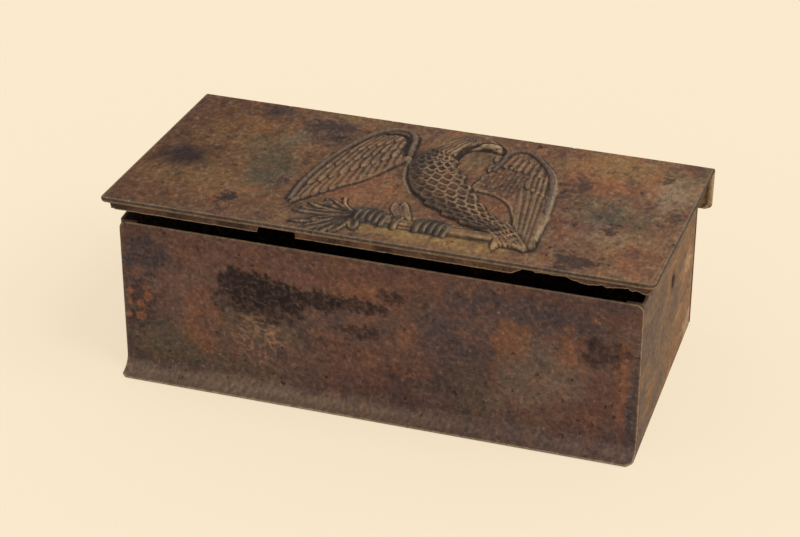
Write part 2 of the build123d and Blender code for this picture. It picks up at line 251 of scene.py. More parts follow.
# %% Curves and distances
def smooth_line(points, closed=False, steps=8):
    """Catmull-Rom curve through given points: a cubic between each pair of neighbours."""
    ring = np.array(points, float)
    if closed:
        ring = np.vstack([ring[-1:], ring, ring[:2]])
    else:
        ring = np.vstack([2 * ring[0] - ring[1], ring, 2 * ring[-1] - ring[-2]])
    t = (np.arange(steps) / steps)[None, :, None]
    a, b, c, d = (ring[k:len(ring) - 3 + k][:, None, :] for k in range(4))
    bend = (2 * a - 5 * b + 4 * c - d) * t ** 2 + (3 * b - a - 3 * c + d) * t ** 3
    curve = (b + 0.5 * ((c - a) * t + bend)).reshape(-1, 2)
    return curve if closed else np.vstack([curve, ring[-2:-1]])


def distance_to(curve, x, y, closed=False):
    """Least distance from each place to the straight runs of a curve."""
    ends = np.roll(curve, -1, 0) if closed else curve[1:]
    nearest = np.full(x.shape, np.inf)
    for (x0, y0), (x1, y1) in zip(curve, ends):
        dx, dy = x1 - x0, y1 - y0
        share = np.clip(((x - x0) * dx + (y - y0) * dy) / (dx * dx + dy * dy), 0, 1)
        nearest = np.minimum(nearest, np.hypot(x - x0 - share * dx, y - y0 - share * dy))
    return nearest


def depth_inside(loop, x, y):
    """Distance to a loop, positive inside. A place is inside if a ray from it crosses an odd number
    of the loop's runs."""
    inside = np.zeros(x.shape, bool)
    for (x0, y0), (x1, y1) in zip(loop, np.roll(loop, -1, 0)):
        if y0 != y1:
            inside ^= ((y0 > y) != (y1 > y)) & (x < x0 + (y - y0) * (x1 - x0) / (y1 - y0))
    nearest = distance_to(loop, x, y, True)
    return np.where(inside, nearest, -nearest)


# %% The relief and its tools
class Relief:
    """Heights over a grid of places on the lid: x across it, y back from its front edge."""

    def __init__(self, x, y):
        self.x, self.y = x, y
        self.height = np.zeros(x.shape)

    def window(self, x, y, reach):
        """The part of the grid within reach of a place, so that small shapes cost little."""
        columns = np.searchsorted(self.x[0], (x - reach, x + reach))
        rows = np.searchsorted(self.y[:, 0], (y - reach, y + reach))
        return slice(*rows), slice(*columns)

    def raise_field(self, outline, rise, edge, crown, crown_width):
        """A soft step up at the outline, then a crown that grows as 1 - e^(-depth / width)."""
        depth = depth_inside(smooth_line(outline, True), self.x, self.y)
        swell = crown * (1 - np.exp(-np.clip(depth, 0, None) / crown_width))
        self.height = np.maximum(self.height, rise * soft_step(depth, 0, edge) + swell)

    def lay_blade(self, root, tip, width, low=0.35, high=0.95, crown=0.22, quill=0.12, barb=0.04,
                  hollow=0.0, bow=0.0, taper=0.45):
        """A feather: u runs from root to tip and v across. Its height is a slope in u, less a
        parabola in v, with a quill ridge at v = 0 and barbs as a slanted sine wave."""
        x0, y0 = root
        dx, dy = tip[0] - x0, tip[1] - y0
        length = np.hypot(dx, dy)
        part = self.window(x0 + dx / 2, y0 + dy / 2, length / 2 + width)
        gx, gy = self.x[part] - x0, self.y[part] - y0
        along = (gx * dx + gy * dy) / length
        u = along / length
        v = (gy * dx - gx * dy) / length - 4 * bow * u * (1 - u)
        inner = np.clip(u, 1e-4, 1 - 1e-4)
        half = width / 2 * np.minimum(1, (4 * inner) ** 0.5)
        half = half * np.minimum(1, ((1 - inner) * length / width) ** taper)
        cover = soft_step(half - np.abs(v), -0.05, 0.22) * (u > 0) * (u < 1)
        side = np.clip(np.abs(v) / np.maximum(half, 0.05), 0, 1)
        rise = low + (high - low) * u - crown * side ** 2
        rise += quill * np.exp(-(v / 0.22) ** 2) * (1 - 0.6 * u)
        rise += barb * np.sin(7 * (along - 1.1 * np.abs(v)))
        rise -= hollow * (1 - side ** 2) * np.sin(np.pi * inner ** 1.3)
        self.height[part] = self.height[part] * (1 - cover) + rise * cover

    def fan(self, roots, tips, count, width, **kind):
        """Feathers side by side, their roots on one line and their tips on another."""
        for share in np.linspace(0, 1, count):
            root = np.array(roots[0]) * (1 - share) + np.array(roots[1]) * share
            tip = np.array(tips[0]) * (1 - share) + np.array(tips[1]) * share
            self.lay_blade(root, tip, width, **kind)

    def dome(self, x, y, radii, rise, tilt=0.0, base=0.0):
        """The upper half of an ellipsoid, turned by tilt degrees, on a base."""
        part = self.window(x, y, max(radii) + 0.5)
        gx, gy = self.x[part] - x, self.y[part] - y
        ca, sa = np.cos(np.radians(tilt)), np.sin(np.radians(tilt))
        out = ((gx * ca + gy * sa) / radii[0]) ** 2 + ((gy * ca - gx * sa) / radii[1]) ** 2
        swell = base + rise * np.sqrt(np.clip(1 - out, 0, 1))
        here = self.height[part]
        self.height[part] = np.where(out < 1, np.maximum(here, swell), here)

    def ridge(self, points, width, rise):
        """A rounded bead along a smooth line."""
        near = distance_to(smooth_line(points), self.x, self.y)
        share = np.clip(1 - (2 * near / width) ** 2, 0, 1)
        self.height = np.maximum(self.height, rise * np.sqrt(share))

    def groove(self, points, width, depth):
        """A soft valley along a smooth line, deepest on the line itself."""
        near = distance_to(smooth_line(points), self.x, self.y)
        self.height = self.height - depth * np.exp(-(2 * near / width) ** 2)


# %% [markdown]
# The wings hang to either side. Long flight feathers come first, then two or three shorter rows that
# cover their roots, then the rounded leading edge with its groove.

# %% Wings
LEFT_WING = [
    (-22.4, 13.8), (-23.8, 19.0), (-23.7, 28.0), (-22.6, 37.5), (-20.6, 47.0), (-18.0, 55.0),
    (-15.2, 60.2), (-11.9, 62.3), (-8.4, 61.8), (-6.0, 58.8), (-5.0, 54.0), (-4.4, 47.0),
    (-6.4, 41.5), (-8.8, 35.0), (-12.0, 29.0), (-16.0, 24.5), (-19.6, 18.5),
]
LEFT_EDGE = [
    (-22.9, 16.0), (-23.2, 23.0), (-22.8, 31.0), (-21.7, 39.0), (-19.8, 47.5), (-17.4, 54.8),
    (-14.5, 59.7), (-11.6, 61.5), (-8.6, 61.0), (-6.8, 58.2), (-6.0, 54.0), (-5.3, 48.6),
]
HOOK = [(-13.6, 58.4), (-11.0, 59.3), (-8.8, 58.2), (-7.6, 55.4), (-7.2, 51.6), (-6.2, 48.0)]
RIGHT_WING = [
    (14.8, 45.5), (15.8, 50.0), (15.6, 56.0), (17.4, 59.6), (20.4, 60.0), (23.6, 57.8), (26.4, 54.0),
    (28.8, 49.6), (30.6, 43.6), (31.9, 36.0), (33.1, 28.0), (33.9, 20.0), (34.0, 13.0), (33.4, 8.2),
    (30.8, 9.8), (28.2, 17.0), (25.4, 24.5), (23.0, 30.0), (19.0, 33.5), (13.0, 36.0),
]
RIGHT_EDGE = [
    (15.4, 46.8), (16.2, 51.5), (16.2, 56.6), (18.0, 59.2), (20.6, 59.2), (23.4, 57.0), (26.0, 53.4),
    (28.3, 49.2), (30.0, 43.4), (31.3, 36.0), (32.4, 28.0),
]


def press_left_wing(relief):
    """Rows of feathers that hang down to the left, under a bead that hooks over at the top."""
    relief.raise_field(LEFT_WING, 0.4, 0.5, 0.2, 3.0)
    relief.fan(((-20.6, 40), (-14.4, 44)), ((-22.0, 14.6), (-14.8, 25.6)), 6, 1.9, high=0.6, barb=0.08)
    relief.fan(((-13.4, 44), (-6.2, 53)), ((-13.0, 28.0), (-5.0, 44.5)), 7, 1.9, high=0.6, barb=0.08)
    relief.fan(((-20.4, 46), (-7.4, 56)), ((-21.6, 24.0), (-6.6, 48.0)), 10, 1.8, high=0.85, barb=0.08)
    relief.fan(((-18.6, 52), (-8.2, 58)), ((-20.6, 34.0), (-8.4, 51.0)), 9, 1.6, high=0.95, barb=0.06)
    relief.fan(((-15.6, 57), (-9.4, 59.6)), ((-18.4, 44.0), (-10.4, 54.0)), 6, 1.6, high=1.0, barb=0.06)
    relief.ridge(LEFT_EDGE, 1.5, 1.1)
    relief.groove(HOOK, 1.5, 0.5)


def press_right_wing(relief):
    """Long barbed feathers down the outer side that close to one tip, small coverts inside them."""
    relief.raise_field(RIGHT_WING, 0.4, 0.5, 0.15, 3.0)
    for row in range(7):
        low, shift = 34.5 + 2.9 * row, 1.0 * (row % 2)
        roots = ((14.8 + shift, low + 4.4), (25.2 + shift, low + 3.4))
        tips = ((14.4 + shift, low), (25.8 + shift, low - 1.4))
        relief.fan(roots, tips, 6, 1.9, low=0.42, high=0.72, hollow=0.1, quill=0.06, barb=0.02)
    relief.fan(((23.6, 41.0), (26.8, 44.0)), ((29.6, 12.4), (32.0, 9.0)), 3, 2.1, low=0.5, barb=0.1)
    relief.fan(((26.2, 49.0), (30.0, 42.0)), ((32.0, 9.0), (33.6, 9.0)), 3, 2.0, low=0.6, high=1.05,
               barb=0.1)
    relief.fan(((23.4, 54.6), (28.8, 48.0)), ((25.4, 39.0), (31.0, 35.0)), 5, 1.8, high=0.95)
    relief.fan(((18.2, 58.0), (25.4, 54.0)), ((17.2, 49.0), (26.2, 46.0)), 6, 1.7, high=0.9)
    relief.ridge(RIGHT_EDGE, 1.4, 1.1)


# %% [markdown]
# The body swings from the head at the top down to the tail at the right. Its small feathers are
# cupped scales, set in staggered rows square to a middle line that bends with the body.

# %% Body and head
BODY = [
    (-2.0, 51.5), (-3.9, 45.5), (-3.4, 41.0), (-1.6, 35.0), (1.7, 29.0), (7.0, 23.8), (13.6, 19.2),
    (19.6, 15.6), (24.0, 14.6), (29.0, 9.4), (33.0, 8.0), (31.2, 13.4), (25.1, 19.2), (18.6, 25.2),
    (14.0, 31.2), (10.6, 38.5), (7.4, 43.8), (5.6, 49.0), (6.4, 54.6), (9.6, 57.4), (14.4, 57.2),
    (14.6, 59.6), (12.2, 62.4), (8.4, 64.2), (4.6, 62.8), (1.2, 58.0),
]
BODY_SHADE = [
    (-0.2, 53.4), (-2.4, 48.0), (-2.6, 42.6), (-1.2, 36.6), (2.0, 30.8), (7.0, 25.6), (13.4, 21.0),
    (19.0, 17.6), (23.0, 16.0),
]
SPINE = np.array([
    (4.6, 58.6, 2.4), (2.8, 54.6, 3.4), (1.5, 49.8, 4.4), (1.9, 43.8, 5.6), (4.6, 37.4, 6.3),
    (8.3, 30.6, 6.0), (12.8, 25.2, 5.0), (17.6, 21.2, 4.0), (22.4, 17.8, 2.9), (26.6, 14.2, 2.4),
])
BEAK_LINE = [(5.4, 50.0), (5.8, 54.4), (7.6, 58.0), (10.0, 60.4), (12.6, 61.2), (14.5, 59.6), (14.8, 56.4)]
SCALE_ROWS = 23
SCALE_LENGTH = 4.2


def press_scales(relief):
    """Rows of four or five cupped scales across the middle line, from the tail up to the neck, so
    that each row covers the roots of the one below it."""
    for row in range(SCALE_ROWS - 1, -1, -1):
        place = row / (SCALE_ROWS - 1) * (len(SPINE) - 1)
        first = min(int(place), len(SPINE) - 2)
        share = place - first
        x, y, half = SPINE[first] * (1 - share) + SPINE[first + 1] * share
        dx, dy = SPINE[first + 1, :2] - SPINE[first, :2]
        dx, dy = dx / np.hypot(dx, dy), dy / np.hypot(dx, dy)
        count = 4 + row % 2
        reach = (half - 0.9) * (0.78, 1.0)[row % 2]
        for across in np.linspace(-reach, reach, count):
            root = (x - dy * across, y + dx * across)
            tip = (root[0] + dx * SCALE_LENGTH, root[1] + dy * SCALE_LENGTH)
            width = 2.3 * (half - 0.9) / (count - 1) + 0.5
            relief.lay_blade(root, tip, width, low=0.85, high=1.35, hollow=0.5, quill=0, barb=0,
                             crown=0.0, taper=0.6)


def press_body(relief):
    """Tail feathers, scales, neck feathers, then the head with its eye and beak."""
    relief.raise_field(BODY, 0.5, 0.45, 0.85, 2.6)
    relief.fan(((21.0, 19.0), (25.0, 21.0)), ((27.4, 8.8), (33.0, 8.4)), 6, 1.7, low=0.8, barb=0.1)
    press_scales(relief)
    relief.dome(7.4, 61.6, (4.4, 2.6), 0.75, -4, 0.6)
    relief.fan(((3.2, 60.4), (7.2, 59.4)), ((-0.6, 52.6), (4.8, 51.0)), 6, 1.2, low=0.95, high=1.25, barb=0)
    relief.fan(((4.8, 62.6), (8.2, 61.2)), ((1.8, 56.6), (6.0, 55.2)), 5, 1.1, low=1.05, high=1.3, barb=0)
    relief.groove(BEAK_LINE, 1.3, 0.6)
    relief.dome(9.4, 62.5, (0.9, 0.8), 0.45, 0, 1.15)
    relief.dome(11.4, 58.9, (2.7, 1.1), 0.7, 6, 0.85)


# %% [markdown]
# The eagle stands on a straight branch. The talons are upright beads over it, and hollow leaves
# spread from its left end.

# %% Branch
LEAVES = [
    ((-7.4, 13.4), (-18.4, 15.4)), ((-7.6, 12.4), (-20.6, 11.0)), ((-7.8, 11.4), (-19.4, 5.0)),
    ((-8.0, 11.0), (-16.0, 1.8)), ((-7.8, 10.8), (-12.4, 1.2)), ((-7.4, 11.0), (-9.4, 2.4)),
    ((-9.4, 14.0), (-15.4, 19.0)), ((-6.6, 11.6), (-5.2, 5.4)),
]
BERRIES = [(-19.0, 11.8), (-14.2, 16.2), (-14.8, 7.6), (-9.2, 7.4)]
TALONS = [
    (-6.8, 13.6), (-5.2, 13.9), (-3.6, 14.0), (-2.0, 13.6), (-0.4, 12.8), (2.6, 12.2),
    (7.5, 12.5), (9.1, 12.8), (10.7, 12.8), (12.3, 12.5), (13.9, 12.2),
]
ROD_TOP = [(14.9, 14.0), (19.8, 14.6), (24.8, 15.4)]


def press_branch(relief):
    """Rod, talons in two groups, a pair of upright leaves, and the spray at the left."""
    relief.ridge([(-7.6, 12.2), (0, 12.0), (8, 11.9), (17, 12.0), (25.4, 12.6)], 4.2, 0.75)
    relief.groove(ROD_TOP, 0.9, 0.4)
    relief.groove([(-3.6, 10.4), (6, 10.6), (16, 10.4), (25, 10.6)], 0.8, 0.3)
    relief.dome(26.0, 10.6, (1.1, 4.0), 0.95)
    relief.lay_blade((3.6, 14.4), (-0.4, 21.8), 2.3, low=0.4, high=0.75, bow=0.5, hollow=0.3)
    relief.lay_blade((5.2, 14.4), (1.4, 22.8), 2.1, low=0.4, high=0.8, bow=0.4, hollow=0.3)
    for root, tip in LEAVES:
        relief.lay_blade(root, tip, 2.4, low=0.45, high=0.8, quill=0, crown=0.0, hollow=0.4)
    for x, y in BERRIES:
        relief.dome(x, y, (1.2, 1.6), 0.9)
    for x, y in TALONS:
        relief.dome(x, y, (0.95, 3.6), 1.2, 4)
    relief.ridge([(-11.6, 20.8), (-10.6, 17.4), (-8.4, 14.8)], 0.7, 0.5)


# %% [markdown]
# ## The lid sheet
# The sheet is laid out flat: x across it, s from the front edge back over the plate, round the rear
# bend and down the flange. A place (x, s) becomes a point and an outward direction in the closed
# lid. The outer face adds the relief along that direction, and the inner face lies one sheet below,
# or two where the edge is folded under. Near an edge both faces curl in to meet.

# %% The lid's own section and its turn
BEND_LENGTH = REAR_BEND * np.pi / 2
BEND_Z = PLATE_TOP - REAR_BEND
FLANGE_LENGTH = BEND_Z - FLANGE_LOW
KNUCKLES = 5
KNUCKLE_LENGTH = 15.0
KNUCKLE_GAP = 0.4
KNUCKLE_PITCH = KNUCKLE_LENGTH + KNUCKLE_GAP
FIRST_KNUCKLE = (KNUCKLE_GAP - KNUCKLES * KNUCKLE_PITCH) / 2
ROW_HALF = KNUCKLE_GAP - FIRST_KNUCKLE
SLOT_CLEARANCE = 0.45
SLOT_LENGTH = BEND_Z - (PIVOT_Z + LEAF_RING + SLOT_CLEARANCE)
print("row of knuckles", round(2 * ROW_HALF, 2), "mm, slot", round(SLOT_LENGTH, 2), "mm deep")


def lid_section(s):
    """Point (Y, Z) and outward direction at s: along the plate, round a quarter circle, down."""
    turn = np.clip((s - PLATE_LENGTH) / REAR_BEND, 0, np.pi / 2)
    y = LID_FRONT + np.minimum(s, PLATE_LENGTH) + REAR_BEND * np.sin(turn)
    z = BEND_Z + REAR_BEND * np.cos(turn) - np.maximum(s - PLATE_LENGTH - BEND_LENGTH, 0)
    return y, z, np.sin(turn), np.cos(turn)


def set_ajar(points):
    """Turns points of the closed lid about the hinge wire to the angle at which the lid rests."""
    y, z = points[..., 1] - PIVOT_Y, points[..., 2] - PIVOT_Z
    turned = points.copy()
    turned[..., 1] = PIVOT_Y + y * np.cos(AJAR) + z * np.sin(AJAR)
    turned[..., 2] = PIVOT_Z + z * np.cos(AJAR) - y * np.sin(AJAR)
    return turned


def lidded(x, s, lift):
    """The point at (x, s) moved lift outwards."""
    y, z, out_y, out_z = lid_section(s)
    return np.stack([x, y + lift * out_y, z + lift * out_z], -1)


# %% Grid of the lid
NOSE = 0.5
FRONT_FOLD = 2.8
SIDE_FOLD = 1.2
FOLD_STEP = 0.15
FIGURE_LEFT, FIGURE_RIGHT = -24, 37
FLANGE_START = PLATE_LENGTH + BEND_LENGTH


def side_columns(start, count):
    """Grid lines from the figure out to one side, close together at the fold and at the rim."""
    fold, nose = LID_HALF - SIDE_FOLD, LID_HALF - NOSE
    return lines((start, fold - FOLD_STEP, count), (fold - FOLD_STEP, fold, 3), (fold, nose, 3),
                 (nose, LID_HALF, 6))


middle_columns = np.linspace(FIGURE_LEFT, FIGURE_RIGHT, 220)[1:-1]
left_columns = -side_columns(-FIGURE_LEFT, 78)[::-1]
columns = np.concatenate([left_columns, middle_columns, side_columns(FIGURE_RIGHT, 51)])
rows = lines((0, NOSE, 6), (NOSE, FRONT_FOLD, 6), (FRONT_FOLD, FRONT_FOLD + FOLD_STEP, 3),
             (FRONT_FOLD + FOLD_STEP, PLATE_LENGTH, 177), (PLATE_LENGTH, FLANGE_START, 9),
             (FLANGE_START, FLANGE_START + FLANGE_LENGTH, 18))
spare = (len(rows) - 1) % THIN, (len(columns) - 1) % THIN
print("lid grid", len(rows), "x", len(columns), "lines, left over by every third:", spare)

# %% Press the eagle into the flat sheet
FIGURE_SHIFT = 1.7
RELIEF = 0.85


def soften(values, times):
    """Replaces each value by the mean of itself and its four neighbours, over and over."""
    for _ in range(times):
        wide = np.pad(values, 1, mode="edge")
        values = (values + wide[:-2, 1:-1] + wide[2:, 1:-1] + wide[1:-1, :-2] + wide[1:-1, 2:]) / 5
    return values


flat_x, flat_s = np.meshgrid(columns, rows)
figure_y = flat_s + FIGURE_SHIFT
eagle = Relief(flat_x, figure_y)
press_branch(eagle)
press_left_wing(eagle)
press_right_wing(eagle)
press_body(eagle)
pressed = RELIEF * soften(eagle.height, 1) * soft_step(flat_s, 0.5, 1.6)
crevice = eagle.height - soften(eagle.height, 5)
print("eagle height", round(float(pressed.max()), 2), "mm")

# %% [markdown]
# The rim of the sheet is rounded like the nose of a fold, and its corners are rounded in plan. Rust
# has eaten shallow pits, and the sheet has gone a little wavy. Both only take metal away, so the lid
# never grows past its drawn size.

# %% Shape of the lid sheet
LENGTHEN = 0.5
PLATE_CORNER = 1.5
FLANGE_CORNER = 1.6
CORNER_REACH = 50
END_NOSE = 0.25
PIT_DEPTH, BLISTER_DEPTH, WAVE_DEPTH = 0.09, 0.05, 0.04


def rounding(distance, radius):
    """How far a quarter circle has pulled a side in, or let a rim drop, at a distance from the end:
    r - sqrt(r^2 - gap^2), where gap is what is left of the radius there."""
    gap = radius - np.clip(distance, 0, radius)
    return radius - np.sqrt(radius ** 2 - gap ** 2)


def rust_pits(x, s, seed):
    """Depth of pits and waves: peaks of fine noise make pits, broad noise makes the waves."""
    pits = soft_step(layered_cloud(x, s, 1.6, seed, 3), 0.55, 1.25)
    blisters = soft_step(layered_cloud(x, s, 4.5, seed + 20, 3), 0.5, 1.2)
    waves = 1 + layered_cloud(x, s, 18, seed + 40, 2) / 1.6
    return PIT_DEPTH * pits + BLISTER_DEPTH * blisters + WAVE_DEPTH * waves


def outline_depth(side, end, radius):
    """Depth inside a straight outline whose corner between side and end is rounded."""
    round_side, round_end = np.clip(radius - side, 0, None), np.clip(radius - end, 0, None)
    in_corner = (round_side > 0) & (round_end > 0)
    depth = np.where(in_corner, radius - np.hypot(round_side, round_end), np.minimum(side, end))
    return np.maximum(depth, 0)


flange_length = np.where(np.abs(flat_x) < ROW_HALF, SLOT_LENGTH, FLANGE_LENGTH)
in_flange = np.clip((flat_s - FLANGE_START) / FLANGE_LENGTH, 0, 1)
lid_s = np.minimum(flat_s, FLANGE_START) + in_flange * flange_length
to_end = FLANGE_START + flange_length - lid_s
beside_slot = flange_length > SLOT_LENGTH
inset = rounding(lid_s, PLATE_CORNER) + rounding(to_end, FLANGE_CORNER) * beside_slot
near_side = np.clip((np.abs(flat_x) - CORNER_REACH) / (LID_HALF - CORNER_REACH), 0, 1)
lid_x = flat_x - np.sign(flat_x) * inset * near_side
side_gap = LID_HALF - np.abs(lid_x)
rim_depth = outline_depth(side_gap, lid_s, PLATE_CORNER)
end_depth = outline_depth(side_gap, to_end, FLANGE_CORNER)
drop = np.maximum(rounding(rim_depth, NOSE), rounding(end_depth, END_NOSE))
pits = rust_pits(flat_x, LENGTHEN * flat_s, 11) * soft_step(rim_depth, 0, 1)
front_fold = 1 - soft_step(lid_s, FRONT_FOLD, FRONT_FOLD + FOLD_STEP)
side_fold = 1 - soft_step(side_gap, SIDE_FOLD, SIDE_FOLD + FOLD_STEP)
fold = np.maximum(front_fold, side_fold)
outer_lift = pressed - pits - drop
inner_lift = soften(pressed, 4) * (1 - fold) - SHEET * (1 + fold) + drop
lid_skins = [set_ajar(lidded(lid_x, lid_s, lift)) for lift in (outer_lift, inner_lift)]
lid_points, lid_faces = shell(*lid_skins, THIN, True)
lid = make_piece("embossed_lid", lid_points, lid_faces, "lid", "lid_plate")

# %% [markdown]
# The lid's rust lies in drifts: warm brown at the left, ochre and moss towards the right, dark
# stains here and there, and flakes of black scale with sharp edges. An image could carry all that,
# but it would be tied to one view and one size. So each drift is a soft ellipse with a place, two
# radii, a tone, a strength and a seed, and they are laid one over another.

# %% Zones of the lid
LID_ZONES = [
    ((-52, 34), (30, 44), tone(94, 64, 40), 0.5, 100), ((-44, 62), (4, 6), SOOT, 0.6, 102),
    ((-46, 47), (12, 10), tone(122, 84, 52), 0.6, 103), ((-45, 17), (16, 9), OCHRE, 0.4, 104),
    ((-33, 27), (6, 10), MOSS, 0.75, 105), ((-38, 41), (6, 9), MOSS, 0.45, 106),
    ((-27, 53), (7, 9), PLUM, 0.55, 107), ((-33, 47), (3, 5), ASH, 0.4, 108),
    ((-56, 8), (8, 7), RED, 0.55, 109), ((-10, 26), (11, 9), ORANGE, 0.45, 110),
    ((8, 6.5), (25, 4.4), tone(134, 106, 66), 0.75, 111), ((40, 57), (12, 9), OCHRE, 0.7, 112),
    ((43, 47), (6, 6), ORANGE, 0.6, 113), ((46, 32), (12, 9), MOSS, 0.75, 114),
    ((47, 21), (9, 6), ASH, 0.3, 115), ((57, 48), (5, 13), ASH, 0.6, 116),
    ((38, 21), (6, 6), RED, 0.5, 117), ((57, 10), (7, 9), RED, 0.6, 118),
    ((-60, 55), (5, 10), RED, 0.5, 119), ((21, 30), (5, 7), RED, 0.5, 120),
    ((10.5, 51), (5, 6), MOSS, 0.35, 121), ((24, 62), (12, 4), RED, 0.35, 122),
    # The bone zone at the flange's right end is painted light, as if that end were lit.
    ((62, 74), (5, 10), BONE, 0.6, 123),
]
LID_STAINS = [
    ((-54.8, 29.5), (6.5, 6.5), tone(46, 34, 36), 0.92, 141), ((-42, 61), (4, 6), PLUM, 0.6, 142),
    ((-33, 28), (4, 9), tone(68, 62, 52), 0.6, 143), ((60, 64), (3.5, 7), PLUM, 0.5, 144),
    ((44.5, 30), (3.5, 7), SLATE, 0.45, 145), ((53, 27), (3, 6), MOSS, 0.5, 146),
]
LEFT_TO_RIGHT = ((-62, -30, 25, 60), (0.8, 1.0, 1.08, 1.22))
LID_SCALE = [
    ((-36.6, 10), (2.2, 3.2), SOOT, 0.8, 131), ((-27, 57), (7, 2.4), PLUM, 0.75, 132),
    ((-24, 51), (4, 2), PLUM, 0.7, 133), ((44, 5), (4, 4), PLUM, 0.8, 134),
    ((48, 24), (2, 3), PLUM, 0.8, 135), ((36, 43), (3, 8), PLUM, 0.5, 136),
    ((54, 55), (1.5, 3), SOOT, 0.6, 137), ((-28, 23), (1.5, 2.5), PLUM, 0.7, 138),
    ((59, 36), (1.6, 3), SOOT, 0.5, 139), ((-48, 36), (1.6, 2), SOOT, 0.5, 140),
]
print("lid zones", len(LID_ZONES), "stains", len(LID_STAINS), "scale", len(LID_SCALE))

# %% [markdown]
# Painted shade, with some dirt, lies in the eagle's hollows and beside its raised forms, and painted
# highlight, with some rubbed wear, on its crests. The curves that shaped the eagle are used again here
# as lines of painted shade and highlight, so that the paint always follows the relief.

# %% Lines of the eagle
# Lines of painted shade beside and between the raised forms and under the rod, and of painted highlight on
# edges that face the light.
EAGLE_SHADE_AND_HIGHLIGHT_LINES = [
    (LEFT_WING + LEFT_WING[:1], 0.6, SOOT, 0.4), (RIGHT_WING[:14], 0.6, SOOT, 0.45),
    (BODY + BODY[:1], 0.7, SOOT, 0.45),
    (LEFT_EDGE, 1.1, SLATE, 0.55), (HOOK, 1.2, SOOT, 0.8), (BODY_SHADE, 3.4, SOOT, 0.6),
    (RIGHT_EDGE, 1.1, SLATE, 0.6), (BEAK_LINE, 0.9, SOOT, 0.9), (ROD_TOP, 0.8, SOOT, 0.6),
    ([(26.0, 54.6), (29.2, 49.4), (31.0, 43.0), (32.2, 35.0), (33.2, 26.0), (33.8, 14.0)], 0.5, BONE, 0.6),
    ([(-22.8, 37.0), (-20.8, 46.6), (-18.2, 54.6), (-15.2, 59.6)], 0.4, BONE, 0.5),
    ([(-4.5, 47.0), (-4.0, 41.0), (-2.2, 34.5), (0.8, 28.8)], 0.5, BONE, 0.35),
    ([(9.6, 58.6), (11.4, 59.3), (13.4, 58.9)], 0.6, BONE, 0.5),
    ([(14.6, 10.0), (25.0, 9.6)], 0.8, SOOT, 0.5),
]
EAGLE_SHADE_AND_HIGHLIGHT_LINES += [((root, tip), 0.9, SOOT, 0.65) for root, tip in LEAVES]
EAGLE_SHADE_AND_HIGHLIGHT_LINES += [(((x - 0.2, y - 2.8), (x + 0.1, y + 2.8)), 1.1, SOOT, 0.75) for x, y in TALONS]
EAGLE_SHADE_AND_HIGHLIGHT_LINES += [(((x, y - 0.8), (x, y + 0.8)), 1.0, SOOT, 0.7) for x, y in BERRIES]
EAGLE_SHADE_AND_HIGHLIGHT_LINES += [(((x + 0.6, y - 3.0), (x + 0.9, y + 3.0)), 0.3, BONE, 0.4) for x, y in TALONS]
# Zones of painted shade on the eagle: the talons, the spray, the inner right wing, the head and the body's
# left side.
EAGLE_PAINTED_SHADES = [
    ((-3.6, 13.5), (6.0, 4.6), SLATE, 0.7, 151), ((10.8, 12.5), (5.2, 4.4), SLATE, 0.7, 152),
    ((-14, 8), (8, 8), SLATE, 0.35, 153), ((20, 42), (8, 9), PLUM, 0.35, 154),
    ((6, 61), (6, 3), SLATE, 0.5, 155), ((-1, 44), (3, 8), SLATE, 0.45, 156),
]
print("eagle lines", len(EAGLE_SHADE_AND_HIGHLIGHT_LINES), "shades", len(EAGLE_PAINTED_SHADES))


# %% Colours of the lid
def paint_lines(colours, x, y, drawn):
    """Lays lines of tone whose width wanders a little: (points, width, colour, amount)."""
    for points, width, colour, amount in drawn:
        near = distance_to(smooth_line(points), x, y) * (1 + 0.35 * cloud(x, y, 1.5, 77))
        colours = blend_tone(colours, colour, amount * (1 - soft_step(near, 0.25 * width, width)))
    return colours


def paint_sheet(x, s, pits):
    """Broad drifts of tone, then the zones, the fine mottling, the stains, the scale and the pits."""
    broad = layered_cloud(x, s, 15, 51)
    middle = layered_cloud(x, LENGTHEN * s, 2.6, 61)
    colours = np.broadcast_to(BROWN, x.shape + (3,))
    colours = blend_tone(colours, OCHRE, 0.4 * soft_step(broad, 0.1, 1.0))
    colours = blend_tone(colours, RED, 0.5 * soft_step(-broad, 0.1, 1.0))
    colours = paint_zones(colours, x, s, LID_ZONES)
    colours = blend_tone(colours, ORANGE, 0.4 * soft_step(middle, 0.3, 1.1))
    colours = blend_tone(colours, PLUM, 0.5 * soft_step(-middle, 0.3, 1.1))
    colours = blend_tone(colours, BONE, 0.14 * veins(x, LENGTHEN * s, 1.4, 65))
    colours = colours * np.interp(x, *LEFT_TO_RIGHT)[..., None]
    colours = paint_zones(colours, x, s, LID_STAINS, ragged=0.25, soft=0.8)
    colours = paint_zones(colours, x, s, LID_SCALE, ragged=0.8, soft=0.25)
    return blend_tone(colours, SOOT, 0.55 * soft_step(pits, 0.08, 0.16))


def paint_figure(colours, x, y, crevice):
    """Painted shade and dirt in the hollows, painted highlight and wear on the ridges, then the listed
    painted shades and lines.
    """
    # Painted shade darkens the relief's hollows and painted highlight lightens its crests, each with some
    # dirt or wear.
    colours = blend_tone(colours, SOOT, 10 * np.clip(-crevice - 0.008, 0, 0.085))
    colours = blend_tone(colours, BONE, 5 * np.clip(crevice - 0.02, 0, 0.1))
    colours = paint_zones(colours, x, y, EAGLE_PAINTED_SHADES)
    return paint_lines(colours, x, y, EAGLE_SHADE_AND_HIGHLIGHT_LINES)


sheet_colours = paint_sheet(flat_x, flat_s, pits)
lid_colours = paint_figure(sheet_colours, flat_x, figure_y, crevice)
painted_shadow_rim = np.maximum(1 - soft_step(lid_s, 0.6, 2), soft_step(flat_x, 61, 62))
# The lid's rim is lightened: rubbed wear and a painted highlight.
lid_colours = blend_tone(lid_colours, ASH, 0.6 * (1 - soft_step(rim_depth, 0.4, 0.8)))
